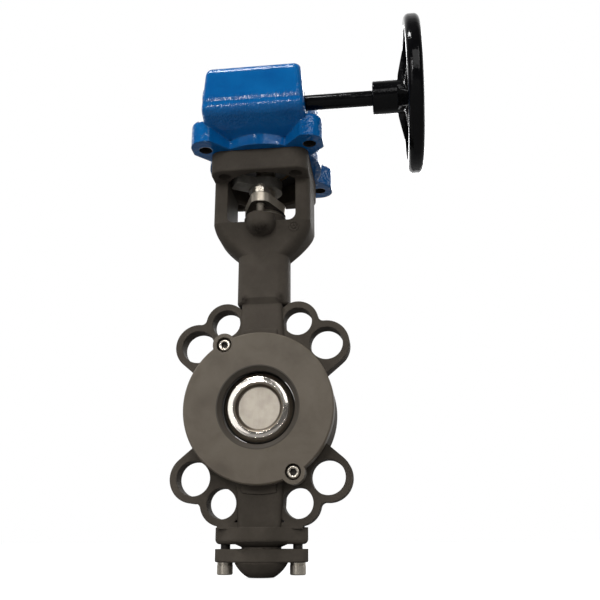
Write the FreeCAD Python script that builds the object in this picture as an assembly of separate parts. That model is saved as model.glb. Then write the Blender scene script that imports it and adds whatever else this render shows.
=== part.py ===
import FreeCAD, Part
import math
import os

# Geared wafer butterfly valve for a 50 mm pipe.
# Millimetres. +Z runs up the stem, the pipe runs along Y and its front is -Y.
# The origin is where the stem axis crosses the pipe axis, midway between the two faces.

# Allowances
overlap = 1.0  # how far a cutter runs past a face, or joined shapes sink into each other
touch = 0.01  # how near a point lies to a plane that it is taken to be on
pin_fit = 0.02
hole_slack = 0.3

# Proportions of socket head screws and nuts, as shares of the screw's radius or of the part itself
cap_head_ratio = 1.66
cap_height_ratio = 2.0
cap_key_ratio = 1.66
cap_socket_floor = 0.45
cap_edge_ratio = 0.15
nut_chamfer_slope = 0.6

# Pipe section of the body
face_to_face = 43.0
body_radius = 47.5
back_bore_radius = 26.2
cavity_radius = 29.0
cavity_front_share = 0.28
cavity_back_share = 0.5
back_chamfer = 1.0
lug_setback = 12.7
lug_thickness = 12.0
lug_edge_angle = 27.5
big_bolt_circle = 122.0
big_hole_diameter = 22.0
big_lug_radius = 15.4
big_bolt_angle = 45.0
small_bolt_circle = 127.0
small_hole_diameter = 19.0
small_lug_radius = 13.9
small_bolt_angle = 67.5
lug_valley_radius = 3.5
lug_foot_sink = 0.5

# Disc, seat and the plate that holds the seat
disc_radius = 23.2
seat_offset = 15.2
seat_clearance = 0.2
seat_land = 1.3
seat_outer_radius = 33.0
seat_cone_slope = 1.15
disc_front_offset = 19.5
disc_ring_outer_radius = 19.5
disc_ring_inner_radius = 15.8
disc_floor_radius = 13.4
disc_floor_depth = 4.5
disc_plate_thickness = 5.0
disc_hub_radius = 10.5
disc_pin_radius = 2.5
disc_pin_height = 14.0
disc_pin_inset = 0.6
disc_ring_chamfer = 0.5
disc_ring_edge = 0.3
disc_lip_drop = 0.15
disc_edge_flat = 0.08
disc_rear_step_inset = 1.4
disc_rear_step_depth = 2.0
disc_rear_inset = 3.5
disc_hub_round = 1.0
disc_web_inset = 1.5
disc_web_share = 0.75
disc_web_round = 3.0
disc_web_half_height = 5.5
disc_cheek_inset = 5.0
retainer_thickness = 9.0
retainer_radius = 48.5
retainer_bore_clearance = 0.4
retainer_mouth_radius = 26.2
retainer_screw_circle = 93.4
retainer_screw_angle = 119.0
retainer_ear_radius = 7.5
retainer_screw_radius = 2.5
retainer_screw_recess = 6.0
retainer_screw_blind = 1.5
retainer_screw_end_gap = 1.0
retainer_hole_slack = 0.25
retainer_recess_ratio = 2.0
retainer_edge_chamfer = 0.8
retainer_ear_trim = 4.0

# Stem and its bearings
stem_radius = 7.0
stem_top = 219.0
stem_bottom = -76.0
stem_end_round = 0.8
running_gap = 0.05
assembly_gap = 0.1
bush_wall = 2.0
bush_length = 38.0
boss_pad_height = 26.9
boss_pad_radius = 12.5
boss_pad_root = 4.0
thrust_washer_thickness = 1.0
thrust_washer_radius = 10.5
stem_shank_clearance = 0.5

# Neck, yoke and top flange
front_ledge_radius = 53.5
front_ledge_half_width = 11.0
saddle_top = 75.0
saddle_half_width = 13.5
saddle_bolt_gap = 0.3
saddle_half_depth = 11.6
saddle_edge_round = 3.0
saddle_foot_round = 4.0
saddle_foot_share = 0.8
saddle_edge_margin = 0.1
neck_half_width = 17.7
neck_half_depth = 13.5
neck_corner = 9.5
neck_foot = 71.0
neck_foot_round = 2.5
neck_step_height = 4.0
yoke_spread_start = 106.0
yoke_spread_power = 1.8
yoke_floor = 129.0
yoke_half_width = 34.0
yoke_half_depth = 18.0
yoke_wall = 10.0
yoke_outer_corner = 5.0
yoke_window_corner = 5.0
yoke_window_top_corner = 2.0
yoke_sections = 7
flange_side = 68.0
flange_corner = 9.0
flange_edge_round = 1.5
flange_bottom = 160.5
flange_thickness = 15.5
flange_bore_radius = 27.6
flange_bore_chamfer = 1.6
top_bolt_circle = 70.0
top_hole_radius = 4.5

# Stuffing box and gland
box_bottom = 112.0
box_top = 137.0
box_wall = 4.0
box_root = 8.0
packing_wall = 4.0
packing_height = 4.0
packing_count = 4
junk_ring_height = 2.0
stud_spacing = 40.0
stud_radius = 3.0
stud_depth = 14.0
stud_top = 155.5
stud_lobe_radius = 10.0
stud_lobe_inset = 1.5
stud_lobe_bottom = 119.0
stud_lobe_round = 8.0
stud_lobe_top = 132.0
stud_rib_width = 2.0
stud_rib_start = 2.0
stud_rib_root_share = 0.8
stud_end_gap = 0.5
gland_bush_collar = 1.8
gland_bush_stand = 0.6
gland_flange_bottom = 140.2
gland_flange_thickness = 7.5
gland_flange_radius = 14.5
gland_flange_round = 1.2
gland_stem_slack = 0.6
gland_ear_radius = 7.0
gland_nut_height = 5.0
gland_nut_width = 9.8
collar_bottom = 158.5
collar_height = 8.0
collar_radius = 12.0
collar_lobe_reach = 24.5
collar_lobe_width = 13.0
collar_lobe_angle = 212.0
collar_lobe_round = 2.5
collar_lobe_step = 1.5
collar_screw_radius = 2.0
collar_screw_bite = 1.0
collar_screw_sink = 0.8
collar_screw_key = 2.0
collar_screw_socket = 1.6
collar_dimple_depth = 1.2
collar_dimple_slack = 0.1

# Bottom of the body and its cover
bottom_flange_top = -73.0
bottom_flange_thickness = 10.0
bottom_boss_radius = 17.0
bottom_boss_height = 1.7
bottom_boss_foot_radius = 20.5
bottom_seat_radius = 12.5
bottom_flange_round = 3.0
bottom_web_height = 3.0
bottom_web_inset = 2.5
bottom_screw_offset = 22.9
bottom_ear_radius = 6.5
bottom_screw_radius = 3.0
bottom_screw_engagement = 8.0
bottom_gasket_thickness = 1.1
bottom_gasket_bore_gap = 0.5
bottom_cover_thickness = 7.8
bottom_cover_round = 1.0
dome_radius = 16.5
dome_skirt = 0.6
dome_bulge = 0.6
dome_tip_radius = 8.0
dome_height = 8.9
bottom_washer_thickness = 1.4
bottom_washer_ratio = 1.6
bottom_washer_bore_slack = 0.2
bottom_washer_slot = 1.0

# Gearbox housing
drum_height = 42.5
wheel_chamber_gap = 1.0
housing_wall = 7.0
housing_floor = 8.0
gearbox_bolt_circle = 102.0
gearbox_lug_hole_radius = 4.25
gearbox_lug_hole_depth = 12.0
gearbox_lug_height = 17.5
gearbox_lug_reach_x = 45.5
gearbox_lug_reach_y = 48.5
gearbox_lug_inner = 31.0
gearbox_lug_corner = 10.0
gearbox_lug_root_angle = 27.5
gearbox_lug_sink = 2.0
gearbox_lug_side_round = 3.0
gearbox_lug_top_round = 3.0
gearbox_lug_round_share = 1.5
flange_stud_radius = 4.0
flange_stud_recess = 6.0
flange_stud_depth = 12.0
flange_stud_end_gap = 1.0
worm_block_height = 51.5
worm_block_half_length = 34.5
worm_block_flare = 2.0
worm_block_front = 60.0
worm_block_rear = 23.8
worm_block_bottom = 16.0
worm_block_slope_end = 37.0
worm_block_slope_foot = 6.5
worm_block_slope_round = 3.0
worm_block_round = 7.0
worm_block_rear_round = 4.0
worm_block_end_round = 5.0
cover_rim_inset = 0.5
cover_front_gap = 0.4
cover_thickness = 5.0
cover_lip_depth = 4.0
cover_lip_wall = 4.0
cover_chamfer = 0.8
cover_gasket_thickness = 0.5
cover_screw_radius = 2.0
cover_screw_inset = 4.0
cover_screw_count = 5
cover_screw_spacing = 50.0
cover_screw_depth = 6.0
cover_screw_end_gap = 0.6
indicator_radius = 15.0
indicator_thickness = 3.5
indicator_pointer_height = 2.0
indicator_round = 0.8
indicator_bar_inset = 2.0
indicator_bar_half_width = 2.5
indicator_bar_round = 2.0
indicator_bar_sink = 0.5
indicator_screw_radius = 2.5
indicator_screw_reach = 12.0
indicator_tap_depth = 14.0
indicator_hole_slack = 0.2
indicator_recess_ratio = 2.0

# Worm gear
gear_module = 2.5
gear_teeth_in_full_turn = 24
gear_tooth_count = 10
teeth_past_closed = 2
pressure_angle = 20.0
gear_backlash = 0.3
gear_dedendum = 1.25
gear_tooth_root_sink = 1.5
gear_face_width = 14.0
gear_hub_radius = 16.0
gear_hub_top_radius = 12.0
gear_hub_stand = 2.0
worm_pitch_radius = 11.5
worm_length = 31.0
worm_axis_height = 28.5
worm_chamber_gap = 0.7
worm_thread_sink = 0.3
wheel_bush_wall = 2.5
wheel_bush_inset = 0.2
key_width = 5.0
key_length = 24.0
shaft_radius = 5.2
shaft_collar_radius = 8.2
shaft_collar_least = 1.0
shaft_end_gap = 0.5
shaft_end_round = 0.6
worm_bush_wall = 2.5
worm_bush_length = 11.0
shaft_seal_width = 4.0
shaft_seal_wall = 3.0
shaft_seal_inner_gap = 0.2
shaft_seal_outer_gap = 0.4
end_cap_thickness = 6.0
worm_pin_radius = 1.5
worm_pin_inset = 3.0
worm_pin_sink = 0.4
stop_screw_radius = 4.0
stop_screw_offset = 21.0
stop_screw_length = 42.0
stop_boss_radius = 8.0
stop_boss_stand = 2.5
stop_boss_root_share = 0.7
stop_nut_height = 6.5
stop_nut_width = 13.0
stop_gap = 0.3
stem_travel = 90.0

# Handwheel
wheel_hub_start = 80.0
wheel_hub_length = 21.0
wheel_hub_radius = 11.0
wheel_hub_round = 1.0
wheel_rim_radius = 52.0
wheel_rim_width = 10.0
wheel_rim_depth = 10.0
wheel_rim_corner_share = 0.7
wheel_rim_centre = 107.0
wheel_spoke_count = 3
wheel_spoke_root_width = 13.0
wheel_spoke_tip_width = 9.0
wheel_spoke_thickness = 5.0
wheel_spoke_tip_share = 0.8
wheel_spoke_root_sink = 3.0
wheel_spoke_root_flare = 1.25
wheel_spoke_root_round = 6.0
wheel_spoke_waist_share = 0.85
wheel_spoke_waist_place = 7.0
wheel_spoke_tip_flare = 1.5
wheel_spoke_tip_round = 8.0
wheel_spoke_tip_place = 10.0
wheel_spoke_angle = 95.0
wheel_pin_radius = 2.0
wheel_pin_sink = 0.3
wheel_pin_place = 7.2
wheel_pin_tilt = 33.0

# Planes and radii that follow from the sizes above
front_face = -face_to_face / 2
back_face = face_to_face / 2
joint_plane = front_face + retainer_thickness
lug_front = front_face + lug_setback
lug_back = lug_front + lug_thickness
seat_plane = -seat_offset
seat_radius = disc_radius + seat_clearance
bush_radius = stem_radius + running_gap + bush_wall
box_radius = stem_radius + packing_wall
box_outer_radius = box_radius + box_wall
gland_flange_top = gland_flange_bottom + gland_flange_thickness
flange_top = flange_bottom + flange_thickness
bottom_flange_bottom = bottom_flange_top - bottom_flange_thickness
bottom_boss_bottom = bottom_flange_bottom - bottom_boss_height
cover_seat = bottom_boss_bottom - bottom_gasket_thickness
cover_bottom = cover_seat - bottom_cover_thickness
housing_base = flange_top
housing_top = housing_base + drum_height
worm_block_top = housing_base + worm_block_height
cover_front = cover_front_gap - worm_block_rear
worm_height = housing_base + worm_axis_height
gear_pitch_radius = gear_module * gear_teeth_in_full_turn / 2
gear_root_radius = gear_pitch_radius - gear_dedendum * gear_module
gear_tip_radius = gear_pitch_radius + gear_module
housing_inside_radius = gear_tip_radius + wheel_chamber_gap
housing_radius = housing_inside_radius + housing_wall
cover_radius = housing_radius - cover_rim_inset
stop_boss_reach = housing_radius + stop_boss_stand
worm_offset = -(gear_pitch_radius + worm_pitch_radius)
worm_root_radius = worm_pitch_radius - gear_dedendum * gear_module
worm_tip_radius = worm_pitch_radius + gear_module
worm_pitch = math.pi * gear_module
worm_chamber_radius = worm_tip_radius + worm_chamber_gap
worm_bush_radius = shaft_radius + running_gap + worm_bush_wall
cover_bottom_plane = housing_top + cover_gasket_thickness
cover_top_plane = cover_bottom_plane + cover_thickness
tooth_step = 360.0 / gear_teeth_in_full_turn
quadrant_end = -90.0 + teeth_past_closed * tooth_step
quadrant_start = quadrant_end - gear_tooth_count * tooth_step
wheel_hub_end = wheel_hub_start + wheel_hub_length


def point(x, y, z):
    return FreeCAD.Vector(x, y, z)


def rod(radius, start, end, axis, across=(0.0, 0.0)):
    """Cylinder along x, y or z; across gives the other two coordinates in order."""
    a, b = across
    base = {"x": point(start, a, b), "y": point(a, start, b), "z": point(a, b, start)}[axis]
    way = {"x": point(1, 0, 0), "y": point(0, 1, 0), "z": point(0, 0, 1)}[axis]
    return Part.makeCylinder(radius, end - start, base, way)


def tube(outer, inner, start, end, axis, across=(0.0, 0.0)):
    return rod(outer, start, end, axis, across).cut(rod(inner, start - overlap, end + overlap, axis, across))


def block(x0, x1, y0, y1, z0, z1):
    return Part.makeBox(x1 - x0, y1 - y0, z1 - z0, point(x0, y0, z0))


def place_in(plane, level):
    """Maps flat coordinates to a point on a plane at the given level."""
    return {
        "xy": lambda u, v: point(u, v, level),
        "xz": lambda u, v: point(u, level, v),
        "yz": lambda u, v: point(level, u, v),
    }[plane]


def rounded_wire(corners, put):
    """Closed outline through corners (u, v, radius), each rounded by its own radius."""
    count = len(corners)
    runs = []
    for i in range(count):
        u, v, radius = corners[i]
        before = corners[i - 1]
        after = corners[(i + 1) % count]
        back = FreeCAD.Vector(before[0] - u, before[1] - v, 0).normalize()
        ahead = FreeCAD.Vector(after[0] - u, after[1] - v, 0).normalize()
        if radius <= 0:
            runs.append(((u, v), None, (u, v)))
            continue
        half = back.getAngle(ahead) / 2
        reach = radius / math.tan(half)
        centre = (back + ahead).normalize() * (radius / math.sin(half))
        middle = centre - FreeCAD.Vector(centre).normalize() * radius
        runs.append((
            (u + back.x * reach, v + back.y * reach),
            (u + middle.x, v + middle.y),
            (u + ahead.x * reach, v + ahead.y * reach),
        ))
    edges = []
    for i in range(count):
        start, middle, end = runs[i]
        if middle is not None:
            edges.append(Part.Arc(put(*start), put(*middle), put(*end)).toShape())
        following = runs[(i + 1) % count][0]
        if put(*end).distanceToPoint(put(*following)) > 1e-6:
            edges.append(Part.makeLine(put(*end), put(*following)))
    return Part.Wire(edges)


def slab(corners, plane, start, end):
    """Prism of a rounded outline, square to its plane."""
    face = Part.Face(rounded_wire(corners, place_in(plane, start)))
    depth = end - start
    way = {"xy": point(0, 0, depth), "xz": point(0, depth, 0), "yz": point(depth, 0, 0)}[plane]
    return face.extrude(way)


def turned(profile, axis):
    """Solid of revolution from (radius, height) corners about the y or z axis."""
    put = {"y": lambda r, h: point(r, h, 0), "z": lambda r, h: point(r, 0, h)}[axis]
    corners = [put(r, h) for r, h in profile]
    face = Part.Face(Part.makePolygon(corners + [corners[0]]))
    way = {"y": point(0, 1, 0), "z": point(0, 0, 1)}[axis]
    return face.revolve(point(0, 0, 0), way, 360)


def joined(shapes):
    """One solid out of shapes that overlap, with leftover seams removed."""
    whole = shapes[0].fuse(shapes[1:]) if len(shapes) > 1 else shapes[0]
    return whole.removeSplitter()


def rounded(solid, radius, wanted):
    """Rounds the edges whose middle point passes the test."""
    edges = []
    for edge in solid.Edges:
        middle = edge.valueAt((edge.FirstParameter + edge.LastParameter) / 2)
        if wanted(middle, edge):
            edges.append(edge)
    return solid.makeFillet(radius, edges)


def aimed(solid, place, direction):
    """Moves a solid made along +Z at the origin to a place and a direction."""
    turned_solid = solid.copy()
    turned_solid.Placement = FreeCAD.Placement(place, FreeCAD.Rotation(point(0, 0, 1), direction))
    return turned_solid


def eared_slab(centre_radius, ear_radius, ear_offset, start, end, axis):
    """Oval flange: a round middle and two round ears joined by tangent sides."""
    lean = math.acos((centre_radius - ear_radius) / ear_offset)
    near = (centre_radius * math.cos(lean), centre_radius * math.sin(lean))
    far = (ear_offset + ear_radius * math.cos(lean), ear_radius * math.sin(lean))
    corners = [
        (far[0], -far[1]), (far[0], far[1]), (near[0], near[1]),
        (-near[0], near[1]), (-far[0], far[1]), (-far[0], -far[1]),
        (-near[0], -near[1]), (near[0], -near[1]),
    ]
    if axis == "y":
        corners = [(v, u) for u, v in corners]
    parts = [slab([(u, v, 0) for u, v in corners], "xy", start, end)]
    parts.append(rod(centre_radius, start, end, "z"))
    for side in (-ear_offset, ear_offset):
        across = (side, 0) if axis == "x" else (0, side)
        parts.append(rod(ear_radius, start, end, "z", across))
    return joined(parts)


def cap_screw(radius, length):
    """Socket head screw along +Z: the head stands on z = 0 and the shank goes down."""
    head_radius = radius * cap_head_ratio
    head_height = radius * cap_height_ratio
    floor = head_height * cap_socket_floor
    socket = slab(hexagon(radius * cap_key_ratio), "xy", floor, head_height + overlap)
    head = rod(head_radius, 0, head_height, "z")
    head = rounded(head, radius * cap_edge_ratio,
                   lambda m, e: m.z > head_height - touch and len(e.Vertexes) == 1)
    return joined([head, rod(radius, -length, overlap / 2, "z")]).cut(socket)


def hexagon(width):
    """Corners of a hexagon with the given width across flats."""
    reach = width / math.sqrt(3)
    return [(reach * math.cos(math.radians(60 * i)), reach * math.sin(math.radians(60 * i)), 0)
            for i in range(6)]


def hex_nut(width, height, bore):
    corner = width / math.sqrt(3)
    chamfer = corner - width / 2
    body = slab(hexagon(width), "xy", 0, height)
    envelope = turned([
        (0, 0), (width / 2, 0), (corner, chamfer * nut_chamfer_slope),
        (corner, height - chamfer * nut_chamfer_slope), (width / 2, height), (0, height),
    ], "z")
    return body.common(envelope).cut(rod(bore, -overlap, height + overlap, "z"))


def corner_places(half):
    return [(sx * half, sy * half) for sx in (-1, 1) for sy in (-1, 1)]


def on_circle(diameter, angle):
    turn = math.radians(angle)
    return (diameter / 2 * math.cos(turn), diameter / 2 * math.sin(turn))


def retainer_screw_places():
    return [on_circle(retainer_screw_circle, retainer_screw_angle + 180 * i) for i in range(2)]


def arc_about(centre, radius, start, end, put):
    """Arc edge about a flat centre, between two angles in radians."""
    turns = (start, (start + end) / 2, end)
    return Part.Arc(*[put(centre[0] + radius * math.cos(t), centre[1] + radius * math.sin(t))
                      for t in turns]).toShape()


def angle_of(start, end):
    return math.atan2(end[1] - start[1], end[0] - start[0])


def lug_quarter():
    """Two bolt rings of one corner and the web that ties them to the body, seen along the pipe."""
    big = on_circle(big_bolt_circle, big_bolt_angle)
    small = on_circle(small_bolt_circle, small_bolt_angle)
    foot = on_circle(2 * (body_radius - lug_foot_sink), lug_edge_angle)
    # The outer edge runs from the foot to where it touches the big ring.
    gap = math.hypot(big[0] - foot[0], big[1] - foot[1])
    lean = angle_of(foot, big) - math.asin(big_lug_radius / gap)
    # The valley between the rings is a round that touches both of them.
    span = math.hypot(small[0] - big[0], small[1] - big[1])
    to_big = big_lug_radius + lug_valley_radius
    to_small = small_lug_radius + lug_valley_radius
    along = (to_big ** 2 - to_small ** 2 + span ** 2) / (2 * span)
    rise = math.sqrt(to_big ** 2 - along ** 2)
    ux = (small[0] - big[0]) / span
    uy = (small[1] - big[1]) / span
    valley = (big[0] + ux * along + uy * rise, big[1] + uy * along - ux * rise)
    put = place_in("xz", lug_front)
    rings = [
        arc_about(big, big_lug_radius, lean - math.pi / 2, angle_of(big, valley), put),
        arc_about(valley, lug_valley_radius, angle_of(valley, big) + 2 * math.pi,
                  angle_of(valley, small) + 2 * math.pi, put),
        arc_about(small, small_lug_radius, angle_of(small, valley), math.pi, put),
    ]
    inner = small[0] - small_lug_radius
    ends = [rings[0].valueAt(rings[0].FirstParameter), put(inner, small[1])]
    run = [ends[1], put(inner, inner * foot[1] / foot[0]), put(*foot), ends[0]]
    sides = [Part.makeLine(start, end) for start, end in zip(run, run[1:])]
    quarter = Part.Face(Part.Wire(rings + sides)).extrude(point(0, lug_thickness, 0))
    quarter = quarter.cut(rod(big_hole_diameter / 2, lug_front - overlap, lug_back + overlap, "y", big))
    return quarter.cut(rod(small_hole_diameter / 2, lug_front - overlap, lug_back + overlap, "y", small))


def lugs():
    quarter = lug_quarter()
    right = [quarter, quarter.mirror(point(0, 0, 0), point(0, 0, 1))]
    left = [q.mirror(point(0, 0, 0), point(1, 0, 0)) for q in right]
    return right + left


def saddle(tip, sign):
    """Block between the round body and the neck, or the bottom flange, as wide as the small bolts allow."""
    bolt = on_circle(small_bolt_circle, small_bolt_angle)
    beside_bolt = bolt[0] - small_hole_diameter / 2 - saddle_bolt_gap
    slope = (beside_bolt - saddle_half_width) / (saddle_top - bolt[1])
    foot = saddle_half_width + slope * (saddle_top - body_radius)
    inner, outer = sign * body_radius * saddle_foot_share, sign * body_radius
    corners = [(-foot, inner, 0), (-foot, outer, saddle_foot_round), (-saddle_half_width, tip, 0),
               (saddle_half_width, tip, 0), (foot, outer, saddle_foot_round), (foot, inner, 0)]
    solid = slab(corners, "xz", -saddle_half_depth, saddle_half_depth)
    return rounded(solid, saddle_edge_round, lambda m, e: abs(abs(m.y) - saddle_half_depth) < touch
                   and abs(m.x) > saddle_half_width - saddle_edge_margin)


def front_ledge():
    """Low step of the body in front of the saddles, just outside the seat retainer."""
    step = rod(front_ledge_radius, joint_plane, 0, "y")
    return step.common(block(-front_ledge_half_width, front_ledge_half_width, joint_plane, 0,
                             -front_ledge_radius, front_ledge_radius))


def bottom_webs():
    """Webs that join the lower bolt rings to the ears of the bottom flange."""
    outer = bottom_screw_offset + bottom_ear_radius - bottom_web_inset
    top = bottom_flange_top + bottom_web_height
    webs = []
    inner = saddle_half_width - overlap
    for inner_end, outer_end in ((-outer, -inner), (inner, outer)):
        webs.append(block(inner_end, outer_end, lug_front, lug_back, bottom_flange_top - overlap, top))
    return webs


def rounded_box(half_x, half_y, corner, level):
    """Outline of a rounded rectangle round the stem axis."""
    corners = [(-half_x, -half_y, corner), (half_x, -half_y, corner),
               (half_x, half_y, corner), (-half_x, half_y, corner)]
    return rounded_wire(corners, place_in("xy", level))


def neck():
    """Rounded column that runs down to the bolt rings; its front and back step in at the saddle."""
    foot = rounded_box(neck_half_width, neck_half_depth, neck_corner, neck_foot)
    column = Part.Face(foot).extrude(point(0, 0, yoke_spread_start - neck_foot))
    column = rounded(column, neck_foot_round, lambda m, e: m.z < neck_foot + touch)
    steps = []
    for side in (-1, 1):
        inner, outer = side * saddle_half_depth, side * (neck_half_depth + overlap)
        steps.append(slab([
            (inner, neck_foot - overlap, 0), (outer, neck_foot - overlap, 0), (outer, saddle_top, 0),
            (side * neck_half_depth, saddle_top, 0), (inner, saddle_top - neck_step_height, 0),
        ], "yz", -neck_half_width - overlap, neck_half_width + overlap))
    return column.cut(steps)


def yoke():
    """Shoulders that widen from the neck into two side walls under the top flange."""
    wires = []
    for i in range(yoke_sections):
        rise = i / (yoke_sections - 1)
        wide = 1 - (1 - rise) ** yoke_spread_power
        deep = rise ** 2
        wires.append(rounded_box(
            neck_half_width + (yoke_half_width - neck_half_width) * wide,
            neck_half_depth + (yoke_half_depth - neck_half_depth) * deep,
            neck_corner + (yoke_outer_corner - neck_corner) * deep,
            yoke_spread_start + (yoke_floor - yoke_spread_start) * rise))
    shoulders = Part.makeLoft(wires, True, False)
    walls = Part.Face(wires[-1]).extrude(point(0, 0, flange_bottom + 2 * overlap - yoke_floor))
    inner = yoke_half_width - yoke_wall
    window = [(-inner, yoke_floor, yoke_window_corner), (inner, yoke_floor, yoke_window_corner),
              (inner, flange_bottom, yoke_window_top_corner), (-inner, flange_bottom, yoke_window_top_corner)]
    return [shoulders, walls.cut(slab(window, "xz", -yoke_half_depth - overlap, yoke_half_depth + overlap))]


def top_flange():
    half = flange_side / 2
    r = flange_corner
    corners = [(-half, -half, r), (half, -half, r), (half, half, r), (-half, half, r)]
    plate = slab(corners, "xy", flange_bottom, flange_top)
    return rounded(plate, flange_edge_round, lambda m, e: abs(m.z - flange_bottom) < touch)


def stud_lobe(side):
    """Boss round a gland stud that stands out of the yoke, with a domed underside."""
    y = side * (stud_spacing / 2 - stud_lobe_inset)
    lobe = rod(stud_lobe_radius, stud_lobe_bottom, stud_lobe_top, "z", (0, y))
    lobe = rounded(lobe, stud_lobe_round,
                   lambda m, e: m.z < stud_lobe_bottom + touch and len(e.Vertexes) == 1)
    root = side * neck_half_depth * stud_rib_root_share
    rib_top = stud_lobe_bottom + stud_lobe_round
    rib = slab([(root, yoke_spread_start + stud_rib_start, 0), (y, rib_top, 0), (root, rib_top, 0)], "yz",
               -stud_rib_width / 2, stud_rib_width / 2)
    return [lobe, rib]


def bottom_flange():
    """Flange with two ears and a conical boss below it that carries the gasket."""
    plate = eared_slab(bottom_boss_radius, bottom_ear_radius, bottom_screw_offset,
                       bottom_flange_bottom, bottom_flange_top, "x")
    plate = rounded(plate, bottom_flange_round, lambda m, e: abs(m.z - bottom_flange_bottom) < touch)
    rise = bottom_flange_bottom + bottom_boss_height
    boss = turned([(0, bottom_boss_bottom), (bottom_seat_radius, bottom_boss_bottom),
                   (bottom_boss_foot_radius, rise), (0, rise)], "z")
    return [plate, boss]


def valve_body():
    """Casting with the pipe section, lugs, neck, yoke, top flange and bottom flange."""
    parts = [rod(body_radius, joint_plane, back_face, "y")]
    parts += lugs()
    for place in retainer_screw_places():
        parts.append(rod(retainer_ear_radius, joint_plane, lug_back, "y", place))
    parts += [saddle(saddle_top, 1), saddle(bottom_flange_top - overlap, -1), neck(), top_flange()] + yoke()
    parts += [front_ledge()] + bottom_webs()
    parts += bottom_flange()
    parts.append(rod(box_outer_radius, yoke_floor - box_root, box_top, "z"))
    parts += stud_lobe(-1) + stud_lobe(1)
    body = parts[0].fuse(parts[1:])

    cavity = turned([
        (0, joint_plane - overlap), (cavity_radius, joint_plane - overlap),
        (cavity_radius, cavity_radius * cavity_front_share),
        (back_bore_radius, cavity_radius * cavity_back_share),
        (back_bore_radius, back_face - back_chamfer), (back_bore_radius + back_chamfer, back_face),
        (back_bore_radius + back_chamfer, back_face + overlap), (0, back_face + overlap),
    ], "y")
    pads = []
    for sign in (-1, 1):
        ends = sorted((sign * boss_pad_height, sign * (cavity_radius + boss_pad_root)))
        pads.append(rod(boss_pad_radius, ends[0], ends[1], "z"))
    body = body.cut(cavity).fuse(pads)

    cuts = [
        rod(bush_radius + assembly_gap / 2, bottom_boss_bottom - overlap, 0, "z"),
        rod(bush_radius + assembly_gap / 2, 0, boss_pad_height + bush_length, "z"),
        rod(stem_radius + stem_shank_clearance, 0, box_top, "z"),
        rod(box_radius + assembly_gap / 2, box_bottom, box_top + overlap, "z"),
        rod(flange_bore_radius, flange_bottom - overlap, flange_top + overlap, "z"),
        turned([(0, flange_bottom - overlap),
                (flange_bore_radius + flange_bore_chamfer + overlap, flange_bottom - overlap),
                (flange_bore_radius, flange_bottom + flange_bore_chamfer),
                (0, flange_bottom + flange_bore_chamfer)], "z"),
    ]
    for x, y in corner_places(top_bolt_circle / 2 / math.sqrt(2)):
        cuts.append(rod(top_hole_radius, flange_bottom - overlap, flange_top + overlap, "z", (x, y)))
    for side in (-1, 1):
        cuts.append(rod(stud_radius + running_gap, box_top - stud_depth, box_top + overlap, "z",
                        (0, side * stud_spacing / 2)))
        cuts.append(rod(bottom_screw_radius + running_gap, bottom_flange_bottom - overlap,
                        bottom_flange_top + overlap, "z", (side * bottom_screw_offset, 0)))
    for place in retainer_screw_places():
        cuts.append(rod(retainer_screw_radius + running_gap, joint_plane - overlap,
                        lug_back - retainer_screw_blind, "y", place))
    return body.cut(cuts)


def seat_retainer():
    """Front plate: its bore shows the disc and its rear pocket clamps the seat."""
    bore = seat_radius + retainer_bore_clearance / 2
    chamfer = retainer_mouth_radius - bore
    pocket = seat_plane - seat_land
    ring = turned([
        (bore, pocket), (bore, front_face + chamfer), (retainer_mouth_radius, front_face),
        (retainer_radius - retainer_edge_chamfer, front_face),
        (retainer_radius, front_face + retainer_edge_chamfer),
        (retainer_radius, joint_plane), (seat_outer_radius + assembly_gap / 2, joint_plane),
        (seat_outer_radius + assembly_gap / 2, pocket),
    ], "y")
    parts = [ring]
    for place in retainer_screw_places():
        parts.append(rod(retainer_ear_radius, front_face, joint_plane, "y", place).cut(
            rod(seat_outer_radius + retainer_ear_trim, front_face - overlap, joint_plane + overlap, "y")))
    plate = joined(parts)
    for place in retainer_screw_places():
        plate = plate.cut(rod(retainer_screw_radius + retainer_hole_slack, front_face - overlap,
                              joint_plane + overlap, "y", place))
        plate = plate.cut(rod(retainer_screw_radius * retainer_recess_ratio, front_face - overlap,
                              front_face + retainer_screw_recess, "y", place))
    return plate


def retainer_screws():
    seat = front_face + retainer_screw_recess
    length = lug_back - retainer_screw_blind - retainer_screw_end_gap - seat
    screw = cap_screw(retainer_screw_radius, length)
    return [aimed(screw, point(x, seat, z), point(0, -1, 0)) for x, z in retainer_screw_places()]


def seat_ring():
    """Soft seat: a short land seals on the disc edge and a cone behind it lets the disc swing."""
    pocket = seat_plane - seat_land
    cone_end = seat_radius + seat_cone_slope * (joint_plane - seat_plane)
    return [turned([
        (seat_radius, pocket), (seat_outer_radius, pocket),
        (seat_outer_radius, joint_plane), (cone_end, joint_plane), (seat_radius, seat_plane),
    ], "y")]


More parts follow.
